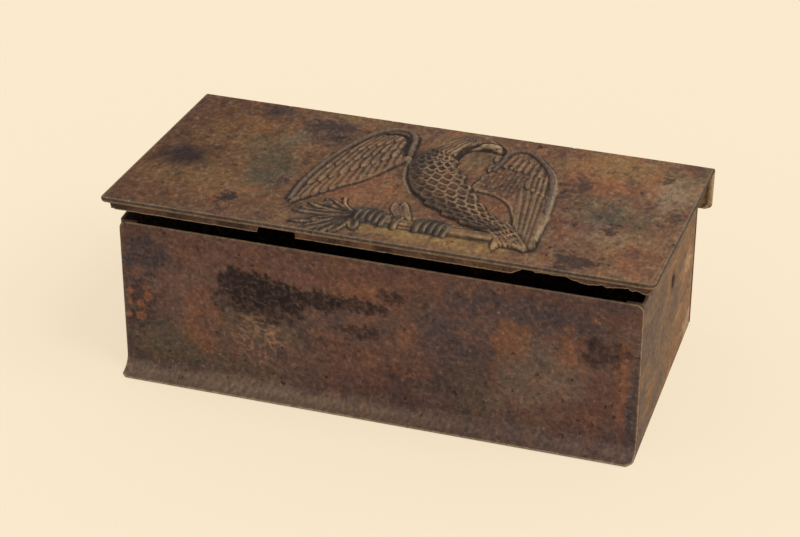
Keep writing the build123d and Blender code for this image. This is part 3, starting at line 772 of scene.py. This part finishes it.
# Painted shadow on the outer nose of the lid's front edge and right side, where the gap beneath lies in
# shade.
lid_colours = blend_tone(lid_colours, SOOT, 0.7 * (1 - soft_step(rim_depth, 0.15, 0.3)) * painted_shadow_rim)
# Painted light: the flange's right end is lightened as if lit, though it hangs partly in the lid's shadow.
painted_light_flange_end = soft_step(lid_s, PLATE_LENGTH, FLANGE_START) * soft_step(flat_x, 56, 60)
# The rim of the inner face is lightened in the same way: wear and a painted highlight.
under_colours = blend_tone(sheet_colours, ASH, 0.8 * (1 - soft_step(rim_depth, 0.1, 0.5)))
under_colours = blend_tone(under_colours, BONE, 0.9 * painted_light_flange_end)
add_colour(lid, lid_colours, under_colours)

# %% [markdown]
# ## The lid's knuckles
# Two tabs run down from the flange and roll forward round the wire. Each is a strip: a path in the
# section plane, straight and then round a little more than three quarters of a circle, carried along
# x and given the sheet's thickness. A bent tube would do, but it has no open end to its roll.

# %% Knuckles
KNUCKLE_ROLL = np.radians(285)
KNUCKLE_NOSE = 0.2
RING_MIDDLE = LID_RING - SHEET / 2


def rolled_strip(start_x, end_x):
    """Closed shell of a strip whose path goes straight down and then round the wire by the roll's angle."""
    straight = np.linspace(LEAF_RING + SLOT_CLEARANCE, 0, 5)[:-1]
    turn = np.linspace(0, KNUCKLE_ROLL, 40)
    y = np.concatenate([np.full(straight.shape, RING_MIDDLE), RING_MIDDLE * np.cos(turn)])
    z = np.concatenate([straight, -RING_MIDDLE * np.sin(turn)])
    out_y = np.concatenate([np.ones(straight.shape), np.cos(turn)])
    out_z = np.concatenate([np.zeros(straight.shape), -np.sin(turn)])
    first, last = start_x + KNUCKLE_NOSE, end_x - KNUCKLE_NOSE
    across = lines((start_x, first, 2), (first, last, 12), (last, end_x, 2))
    grid_x, place = np.meshgrid(across, np.arange(len(y)))
    rim = rounding(np.minimum(grid_x - start_x, end_x - grid_x), KNUCKLE_NOSE)
    faces = []
    for side in (1, -1):
        lift = side * (SHEET / 2 - rim)
        grid_y = PIVOT_Y + y[place] + lift * out_y[place]
        grid_z = PIVOT_Z + z[place] + lift * out_z[place]
        faces.append(set_ajar(np.stack([grid_x, grid_y, grid_z], -1)))
    return shell(*faces, 1, True)


for label, number in (("left", 1), ("right", 3)):
    start = FIRST_KNUCKLE + number * KNUCKLE_PITCH
    points, faces = rolled_strip(start, start + KNUCKLE_LENGTH)
    make_piece("lid_knuckle_" + label, points, faces, "lid", "lid_plate")

# %% [markdown]
# ## The front wall
# One sheet again: a flat wall that sweeps forward at its foot in a cove and ends in a lip. Its
# section is a path with an outward direction, and every border is rounded a little. That rounding and
# a lighter rim, painted as wear and highlight, draw the fine light line along the edges of worn sheet.

# %% Front wall
WALL_RISE = BODY_HEIGHT - FOOT_RADIUS - SHEET
COVE = FOOT_RADIUS * np.pi / 2
LIP_LENGTH = WALL_FACE - FOOT_RADIUS - LIP
WALL_LENGTH = WALL_RISE + COVE + LIP_LENGTH
TOP_CORNER = 1.8
FOOT_CORNER = 2.0
WALL_NOSE = 0.22
RIM_BAND = 0.3
INNER_HALF = HALF_LENGTH - RIM_BAND
INNER_LENGTH = WALL_LENGTH - RIM_BAND


def wall_section(s):
    """Point and outward direction at s: down the wall, round the cove, forward along the lip."""
    turn = np.clip((s - WALL_RISE) / FOOT_RADIUS, 0, np.pi / 2)
    forward = np.clip(s - WALL_RISE - COVE, 0, None)
    y = WALL_FACE - FOOT_RADIUS * (1 - np.cos(turn)) - forward
    z = BODY_HEIGHT - np.minimum(s, WALL_RISE) - FOOT_RADIUS * np.sin(turn)
    return y, z, -np.cos(turn), np.sin(turn)


wall_columns = lines((-HALF_LENGTH, -INNER_HALF, 3), (-INNER_HALF, INNER_HALF, 300),
                     (INNER_HALF, HALF_LENGTH, 3))
wall_rows = lines((0, RIM_BAND, 3), (RIM_BAND, WALL_RISE, 90), (WALL_RISE, WALL_RISE + COVE, 15),
                  (WALL_RISE + COVE, INNER_LENGTH, 3), (INNER_LENGTH, WALL_LENGTH, 3))
wall_u, wall_s = np.meshgrid(wall_columns, wall_rows)
to_lip = WALL_LENGTH - wall_s
wall_inset = rounding(wall_s, TOP_CORNER) + rounding(to_lip, FOOT_CORNER)
wall_x = wall_u * (1 - wall_inset / HALF_LENGTH)
wall_side = HALF_LENGTH - np.abs(wall_x)
wall_rim = outline_depth(wall_side, wall_s, TOP_CORNER)
wall_rim = np.minimum(wall_rim, outline_depth(wall_side, to_lip, FOOT_CORNER))
wall_pits = rust_pits(wall_u, wall_s, 211) * soft_step(wall_rim, 0, 0.8)
wall_drop = rounding(wall_rim, WALL_NOSE)
section_y, section_z, out_y, out_z = wall_section(wall_s)


def wall_face(lift):
    """The wall's points, moved lift outwards."""
    return np.stack([wall_x, section_y + lift * out_y, section_z + lift * out_z], -1)


wall_points, wall_faces = shell(wall_face(-wall_pits - wall_drop), wall_face(wall_drop - SHEET), THIN)
wall = make_piece("front_wall", wall_points, wall_faces, "box", "front_panel")

# %% [markdown]
# The wall is darker and redder than the lid, partly as painted shade where it turns from the light.
# It has black scale near its top, a fine net of light cracks low at the left, a rubbed foot and a few
# round spots of fresh rust. It is painted with the same tools as the lid, by x and by the height over
# the base.

# %% Zones of the front wall
WALL_ZONES = [
    ((0, 35), (80, 5), RED, 0.5, 301), ((-50, 8), (10, 6), MOSS, 0.7, 302),
    ((-35, 5), (12, 4), MOSS, 0.5, 303), ((-41, 16), (5, 9), ORANGE, 0.5, 304),
    ((-27, 17), (11, 6), MOSS, 0.45, 305), ((-1, 12), (15, 8), RED, 0.6, 306),
    ((-20, 31), (12, 4), ORANGE, 0.25, 307), ((12, 11), (9, 4), PLUM, 0.8, 308),
    ((22, 10), (6, 9), MOSS, 0.45, 309), ((37, 16), (11, 12), ASH, 0.4, 310),
    ((31, 25), (4, 7), ORANGE, 0.6, 311), ((45, 25), (3.5, 6), ORANGE, 0.6, 312),
    ((56.2, 19), (2, 11), ORANGE, 0.7, 313), ((44, 8), (9, 5), RED, 0.6, 314),
    ((32, 33), (20, 4), SLATE, 0.75, 315), ((52, 12), (6, 7), RED, 0.5, 316),
    ((14, 22), (10, 7), SLATE, 0.6, 317), ((58.6, 11), (1.3, 14), SLATE, 0.85, 318),
    ((-2, 30.5), (8, 4), ORANGE, 0.5, 319), ((8, 22), (3, 4), ORANGE, 0.5, 320),
]
WALL_SCALE = [
    ((-54, 31), (6, 5), SLATE, 0.8, 331), ((-32, 27.5), (5, 4.6), SCALE, 0.95, 332),
    ((-23, 26.5), (7, 4.0), SCALE, 0.95, 333), ((-13, 26.6), (6, 2.4), SCALE, 0.85, 334),
    ((-4, 27), (7, 2.0), SCALE, 0.8, 335), ((-28, 23.5), (9, 4.6), SCALE, 0.7, 336),
    ((53, 25.5), (6, 3.6), SCALE, 0.6, 337), ((-55.5, 18), (3.6, 6), SCALE, 0.55, 338),
    ((4, 30.5), (3, 2), SCALE, 0.7, 339), ((-3, 20), (5, 1.8), SCALE, 0.7, 340),
]
DOT_PLACES = [
    ((-58.3, 21.1), (0.9, 1.0)), ((-53.9, 20.2), (1.3, 1.4)), ((-55.9, 18.0), (1.0, 1.1)),
    ((-56.2, 14.8), (1.4, 1.2)), ((-59.0, 14.7), (0.8, 1.1)), ((-58.6, 18.2), (0.7, 0.9)),
    ((-54.4, 22.4), (0.8, 0.8)),
]
FRESH = tone(130, 86, 62)
WALL_DOTS = [(place, size, FRESH, 0.75, 351 + k) for k, (place, size) in enumerate(DOT_PLACES)]
print("wall zones", len(WALL_ZONES), "scale", len(WALL_SCALE), "dots", len(WALL_DOTS))


# %% Colours of the front wall
def paint_wall(x, z, pits):
    """Darker than the lid, partly as painted shade: drifts of red and plum, black scale near the top, fresh
    rust in spots.
    """
    broad = layered_cloud(x, z, 13, 351)
    middle = layered_cloud(x, z, 3.2, 361)
    colours = np.broadcast_to(tone(96, 71, 63), x.shape + (3,))
    colours = blend_tone(colours, BROWN, 0.5 * soft_step(broad, 0.1, 1.0))
    colours = blend_tone(colours, PLUM, 0.6 * soft_step(-broad, 0.0, 0.9))
    colours = paint_zones(colours, x, z, WALL_ZONES)
    colours = blend_tone(colours, ORANGE, 0.3 * soft_step(middle, 0.4, 1.2))
    colours = blend_tone(colours, SLATE, 0.5 * soft_step(-middle, 0.4, 1.2))
    colours = blend_tone(colours, DUST, 0.18)
    colours = paint_zones(colours, x, z, WALL_SCALE, ragged=0.5, soft=0.2)
    colours = paint_zones(colours, x, z, WALL_DOTS, ragged=0.3, soft=0.3)
    net = 0.14 + 0.5 * zone(x, z, (-26, 13.5), (8, 6.5), 371)
    colours = blend_tone(colours, tone(160, 122, 96), net * veins(x, z, 1.3, 365))
    return blend_tone(colours, SOOT, 0.4 * soft_step(pits, 0.08, 0.16))


wall_colours = paint_wall(wall_u, section_z, wall_pits)
foot = soft_step(section_z, FOOT_RADIUS + SHEET + 1.4 * layered_cloud(wall_u, section_z, 4, 381), 0.8)
foot = foot * (0.5 - 0.34 * soft_step(wall_u, -20, 30))
wall_colours = blend_tone(wall_colours, tone(140, 118, 96), foot)
# The wall's rim is lightened: rubbed wear and a painted highlight along its edges.
wall_colours = blend_tone(wall_colours, BONE, 0.5 * (1 - soft_step(wall_rim, 0.05, 0.35)))
add_colour(wall, wall_colours, wall_colours)

# %% [markdown]
# ## The strip under the lid's front edge
# An angle strip: an upright leg outside the wall and a flat leg under the plate. Rust has eaten the
# leg's lower edge away at the right, and a piece is missing at the left. So the section is a closed
# loop of fixed corners whose lower edge moves up and down with x.

# %% Front strip
FRONT_GAP = 1.2
SIDE_GAP = 1.0
STRIP_HEIGHT = 3.4
STRIP_LEG = 3.5
STRIP_CORNER = 1.2
STRIP_NOSE = 0.12
NOTCH_HEIGHT = 2.9
LEAST_LEG = 0.02
STRIP_TOP = PLATE_TOP - SHEET
STRIP_FACE = WALL_FACE - FRONT_GAP - STRIP_SHEET
STRIP_HALF = HALF_LENGTH + SIDE_GAP + STRIP_SHEET
STRIP_LOW = STRIP_TOP - STRIP_HEIGHT
STRIP_SHARES = (0, 0.06, 0.25, 0.45, 0.65, 0.8, 0.93, 1)


def stretch(x, first, rise, fall, last):
    """1 along a part of the strip: up from 0 between first and rise, down again from fall to last."""
    return soft_step(x, first, rise) * (1 - soft_step(x, fall, last))


def strip_low(x):
    """Height of the leg's lower edge: straight, but cut away in the notch and eaten at the right."""
    gone = stretch(x, -26.9, -26.3, -18.2, -17.9)
    eaten = stretch(x, 30.5, 34, 43, 47)
    worn = stretch(x, 44, 48, 58, 60)
    ragged = 0.5 + 0.5 * layered_cloud(x, 0 * x, 1.6, 401, 3)
    low = STRIP_LOW + 0.12 * np.abs(cloud(x, 0 * x, 0.9, 405))
    low = low + eaten * (0.7 + 1.0 * ragged) + worn * 1.1 * ragged
    corner = rounding(STRIP_HALF - np.abs(x), STRIP_CORNER)
    low = np.maximum(low + corner, STRIP_LOW + gone * NOTCH_HEIGHT)
    return np.minimum(low, STRIP_TOP - STRIP_SHEET - LEAST_LEG)


def strip_loop(x):
    """Corners of the section, each as (Y, Z) over x: down the outside, up the inside, back along the
    flat leg and forward over it."""
    low = strip_low(x)
    inside, under = STRIP_FACE + STRIP_SHEET, STRIP_TOP - STRIP_SHEET
    above = low + STRIP_NOSE
    down = [(STRIP_FACE, STRIP_TOP + (above - STRIP_TOP) * share) for share in STRIP_SHARES]
    tip = [(STRIP_FACE + STRIP_NOSE, low), (inside - STRIP_NOSE, low)]
    up = [(inside, above + (under - above) * share) for share in (0, 0.5, 1)]
    flat = [(STRIP_FACE + STRIP_LEG, under), (STRIP_FACE + STRIP_LEG, STRIP_TOP)]
    corners = down + tip + up + flat
    return np.stack([np.stack([x, y + 0 * x, z + 0 * x], -1) for y, z in corners])


def closed_tube(loop):
    """Closed mesh of a loop of points carried along x, with a flat cap at each end."""
    around, along = loop.shape[:2]
    index = np.arange(around * along).reshape(around, along)
    wrapped = np.vstack([index, index[:1]])
    faces = grid_quads(wrapped)
    faces += [index[::-1, 0].tolist(), index[:, -1].tolist()]
    return loop.reshape(-1, 3), faces


strip_x = np.linspace(-STRIP_HALF, STRIP_HALF, 700)
strip_points, strip_faces = closed_tube(set_ajar(strip_loop(strip_x)))
strip = make_piece("front_strip", strip_points, strip_faces, "lid", "lid_rim_front")

# %% Colours of the strip
corners_round = len(strip_points) // len(strip_x)
corner_number, strip_along = np.meshgrid(np.arange(corners_round), strip_x, indexing="ij")
strip_tones = np.broadcast_to(tone(92, 70, 58), strip_along.shape + (3,))
strip_cloud = layered_cloud(strip_along, corner_number * 0.5, 4, 411)
strip_tones = blend_tone(strip_tones, PLUM, 0.8 * soft_step(strip_cloud, 0, 0.8))
strip_tones = blend_tone(strip_tones, tone(118, 88, 66), 0.7 * soft_step(-strip_cloud, 0.2, 1))
# Rubbed wear and a painted highlight on the strip's outer top corner and along its leg's lower edge.
worn_edge_and_highlight = np.isin(corner_number, (0, len(STRIP_SHARES) - 1, len(STRIP_SHARES)))
strip_tones = blend_tone(strip_tones, BONE, 0.65 * worn_edge_and_highlight)
add_colour(strip, strip_tones)

# %% [markdown]
# ## Rust as a material
# One recipe covers every piece, so that they look like one object. Three sizes of noise on the
# object's own coordinates do the work: the broad one drifts the tone, the fine one gives the dry,
# granular look, and the dark spots of the middle one are also pits in the bump. The large pieces
# made here bring their own colours, and the others take theirs from a ramp.

# %% Node helpers
def add_node(tree, kind, **values):
    """Adds a shader node and sets the named sockets or properties to fixed values."""
    made = tree.nodes.new("ShaderNode" + kind)
    for name, value in values.items():
        if name in made.inputs:
            made.inputs[name].default_value = value
        else:
            setattr(made, name, value)
    return made


def ramp(tree, source, stops):
    """Colour ramp over a value: stops are (place, colour), spaced along the value's range."""
    made = add_node(tree, "ValToRGB")
    elements = made.color_ramp.elements
    for place, _ in stops[2:]:
        elements.new(place)
    for element, (place, colour) in zip(elements, stops):
        element.position = place
        element.color = (*colour, 1)
    tree.links.new(source, made.inputs["Fac"])
    return made.outputs["Color"]


def grey(level):
    """A neutral colour for ramps that carry a plain number."""
    return (level, level, level)


def mixed(tree, kind, factor, first, second):
    """Mix node over two colours with a fixed or linked factor. Its colours are the inputs 6 and 7."""
    made = add_node(tree, "Mix", data_type="RGBA", blend_type=kind)
    for socket, value in ((made.inputs[0], factor), (made.inputs[6], first), (made.inputs[7], second)):
        if isinstance(value, bpy.types.NodeSocket):
            tree.links.new(value, socket)
        else:
            socket.default_value = value
    return made.outputs[2]


def noise(tree, place, scale, detail, roughness):
    """Fractal noise at a scale given per metre."""
    made = add_node(tree, "TexNoise", Scale=scale, Detail=detail, Roughness=roughness)
    tree.links.new(place, made.inputs["Vector"])
    return made.outputs["Fac"]


# %% The rust recipe
DRIFT_SCALE, SPOT_SCALE, GRAIN_SCALE = 120, 520, 1100
STREAKED = (1, 0.55, 1)
BUMP_HEIGHT = 0.00016
HOLE_DARK, HOLE_CLEAR = 0.0016, 0.0021


def rusted_iron(name, tones=None, shift=(0, 0, 0), lean=(0, 0, 0), hole=None):
    """Rust over iron. The tone comes from the piece's own colours, or from a ramp of tones over
    noise, to which lean adds a slow change along a direction. The iron is dark round a hole."""
    material = bpy.data.materials.new(name)
    material.use_nodes = True
    tree = material.node_tree
    shader = tree.nodes["Principled BSDF"]
    own = add_node(tree, "TexCoord").outputs["Object"]
    place = add_node(tree, "Mapping", Location=shift, Scale=STREAKED)
    tree.links.new(own, place.inputs["Vector"])
    drift = noise(tree, place.outputs[0], DRIFT_SCALE, 6, 0.6)
    grain = noise(tree, place.outputs[0], GRAIN_SCALE, 5, 0.7)
    spots = noise(tree, place.outputs[0], SPOT_SCALE, 4, 0.65)
    if tones is None:
        colour = add_node(tree, "Attribute", attribute_name="tone").outputs["Color"]
    else:
        steps = np.linspace(0.35, 0.65, len(tones))
        slope = add_node(tree, "VectorMath", operation="DOT_PRODUCT")
        slope.inputs[1].default_value = lean
        tree.links.new(own, slope.inputs[0])
        leaning = add_node(tree, "Math", operation="ADD")
        tree.links.new(drift, leaning.inputs[0])
        tree.links.new(slope.outputs["Value"], leaning.inputs[1])
        colour = ramp(tree, leaning.outputs[0], [(step, tuple(tint)) for step, tint in zip(steps, tones)])
    shade = ramp(tree, grain, [(0.28, grey(0.55)), (0.5, grey(0.98)), (0.72, grey(1.5))])
    colour = mixed(tree, "MULTIPLY", 1.0, colour, shade)
    pitted = ramp(tree, spots, [(0.3, grey(0.7)), (0.38, grey(0))])
    colour = mixed(tree, "MIX", pitted, colour, (*(SOOT * 0.8), 1))
    rubbed = ramp(tree, grain, [(0.62, grey(0)), (0.74, grey(0.5))])
    colour = mixed(tree, "MIX", rubbed, colour, (*BONE, 1))
    if hole:
        away = add_node(tree, "VectorMath", operation="DISTANCE")
        away.inputs[1].default_value = hole
        tree.links.new(own, away.inputs[0])
        near = ramp(tree, away.outputs["Value"], [(HOLE_DARK, grey(0.95)), (HOLE_CLEAR, grey(0))])
        colour = mixed(tree, "MIX", near, colour, (*SOOT, 1))
    tree.links.new(colour, shader.inputs["Base Color"])
    rough = ramp(tree, spots, [(0.3, grey(0.9)), (0.7, grey(0.62))])
    tree.links.new(rough, shader.inputs["Roughness"])
    shader.inputs["Specular IOR Level"].default_value = 0.1
    dents = ramp(tree, spots, [(0.28, grey(0)), (0.5, grey(0.8)), (0.8, grey(1))])
    height = mixed(tree, "MIX", 0.5, dents, grain)
    bump = add_node(tree, "Bump", Strength=0.7, Distance=BUMP_HEIGHT)
    tree.links.new(height, bump.inputs["Height"])
    tree.links.new(bump.outputs["Normal"], shader.inputs["Normal"])
    print(name, len(tree.nodes), "nodes")
    return material


lid_rust = rusted_iron("lid_rust")
wall_rust = rusted_iron("wall_rust", shift=(0.3, 0, 0))
END_TONES = [
    tone(106, 86, 74), tone(116, 94, 76), tone(124, 98, 76), tone(134, 100, 72), tone(144, 112, 84),
    tone(164, 134, 104),
]
HOLE = (HALF_LENGTH * MM, 0.003, 0.0265)
end_rust = rusted_iron("end_rust", END_TONES, (0, 0, 0.02), (0, 3.4, -2.0), HOLE)
plain_rust = rusted_iron("plain_rust", [SOOT, PLUM, RED, BROWN, OCHRE], (0.1, 0.4, 0))
strip_rust = rusted_iron("strip_rust", [SOOT, PLUM, BROWN, tone(112, 90, 72), RED], (0.2, 0.2, 0))
wire_rust = rusted_iron("wire_rust", [SOOT, PLUM, MOSS, ASH], (0.5, 0.2, 0))
FINISHES = {
    "embossed_lid": lid_rust, "lid_knuckle_left": plain_rust, "lid_knuckle_right": plain_rust,
    "front_wall": wall_rust, "front_strip": lid_rust, "left_end_panel": end_rust,
    "right_end_panel": end_rust, "back_panel": plain_rust, "bottom_plate": plain_rust,
    "hinge_leaf": strip_rust, "hinge_wire": wire_rust, "lid_rim_left": strip_rust,
    "lid_rim_right": strip_rust,
}
for piece_name, finish in FINISHES.items():
    mesh = bpy.data.objects[piece_name].data
    mesh.materials.clear()
    mesh.materials.append(finish)

# %% [markdown]
# ## Floor, light and camera
# The box stands on a plain cream floor. The camera sees mostly the floor's own colour, and the rest
# is lit, so that the shadow shows. A soft key light comes from above and the right, so the left
# sides of the relief fall into shade, and the world fills the rest.

# %% Floor
CREAM = tone(251, 234, 206)
FLOOR_HALF = 3000
OWN_COLOUR = 0.75


def paper():
    """Matt cream paper. Three quarters of what the camera sees is the paper's own colour and the rest
    is lit, so the background stays pale and the shadow soft. Reflections see it in the same way, and
    every other ray meets plain matt paper."""
    material = bpy.data.materials.new("paper")
    material.use_nodes = True
    tree = material.node_tree
    shader = tree.nodes["Principled BSDF"]
    shader.inputs["Base Color"].default_value = (*CREAM, 1)
    shader.inputs["Roughness"].default_value = 1.0
    shader.inputs["Specular IOR Level"].default_value = 0.0
    glow = add_node(tree, "Emission", Color=(*CREAM, 1), Strength=1.0)
    rays = add_node(tree, "LightPath")
    seen = rays.outputs["Is Camera Ray"]
    for kind in ("Is Glossy Ray", "Is Transmission Ray"):
        either = add_node(tree, "Math", operation="MAXIMUM")
        tree.links.new(seen, either.inputs[0])
        tree.links.new(rays.outputs[kind], either.inputs[1])
        seen = either.outputs[0]
    share = add_node(tree, "Math", operation="MULTIPLY")
    share.inputs[1].default_value = OWN_COLOUR
    tree.links.new(seen, share.inputs[0])
    mix = add_node(tree, "MixShader")
    for source, socket in ((share.outputs[0], 0), (shader.outputs[0], 1), (glow.outputs[0], 2)):
        tree.links.new(source, mix.inputs[socket])
    tree.links.new(mix.outputs[0], tree.nodes["Material Output"].inputs["Surface"])
    return material


def make_floor():
    """A large flat square at the height of the box's base."""
    corners = np.array([(-1, -1, 0), (1, -1, 0), (1, 1, 0), (-1, 1, 0)]) * FLOOR_HALF * MM
    mesh = bpy.data.meshes.new("floor")
    mesh.from_pydata(corners.tolist(), [], [(0, 1, 2, 3)])
    floor = bpy.data.objects.new("floor", mesh)
    bpy.context.collection.objects.link(floor)
    mesh.materials.append(paper())
    print("floor", 2 * FLOOR_HALF, "mm across")


make_floor()

# %% Light
WORLD_LEVEL = 0.7
WORLD_TINT = (1, 0.97, 0.92, 1)
world = bpy.data.worlds.new("studio")
bpy.context.scene.world = world
world.use_nodes = True
sky = world.node_tree.nodes["Background"]
sky.inputs["Color"].default_value = WORLD_TINT
sky.inputs["Strength"].default_value = WORLD_LEVEL


def direction(azimuth, elevation):
    """Unit vector out from the box: azimuth from the front towards the right, elevation upwards."""
    a, e = np.radians(azimuth), np.radians(elevation)
    return Vector((np.sin(a) * np.cos(e), -np.cos(a) * np.cos(e), np.sin(e)))


def sun(name, azimuth, elevation, strength, softness):
    """A distant lamp that shines on the box from a direction in degrees."""
    lamp = bpy.data.lights.new(name, "SUN")
    lamp.energy = strength
    lamp.angle = np.radians(softness)
    light = bpy.data.objects.new(name, lamp)
    light.rotation_euler = direction(azimuth, elevation).to_track_quat("Z", "Y").to_euler()
    bpy.context.collection.objects.link(light)
    print(name, "light from", azimuth, "degrees right of the front,", elevation, "degrees up")


sun("key", azimuth=82, elevation=52, strength=1.2, softness=40)

# %% [markdown]
# The camera was worked out from the places of the box's corners in the picture: where it stands,
# where it looks, and how long its lens is in pixels of a picture 800 wide.

# %% Camera
SENSOR = 36.0
FOCAL_PIXELS = 2542
PHOTO_WIDTH = 800
NEAREST = 0.01
AZIMUTH, ELEVATION, TILT = 17.34, 31.38, 0.03
DISTANCE = 586.9
TARGET = Vector((-3.2, 0.0, 20.0))
camera_data = bpy.data.cameras.new("camera")
camera_data.sensor_width = SENSOR
camera_data.lens = FOCAL_PIXELS / PHOTO_WIDTH * SENSOR
camera_data.clip_start = NEAREST
camera = bpy.data.objects.new("camera", camera_data)
bpy.context.collection.objects.link(camera)
backward = direction(AZIMUTH, ELEVATION)
camera.location = (TARGET + DISTANCE * backward) * MM
turn = backward.to_track_quat("Z", "Y").to_matrix() @ Matrix.Rotation(np.radians(TILT), 3, "Z")
camera.rotation_euler = turn.to_euler()
bpy.context.scene.camera = camera
bpy.context.scene.view_settings.view_transform = "Standard"
print("lens", round(camera_data.lens, 1), "mm at", DISTANCE, "mm from the box")

# %% The json module again
import json
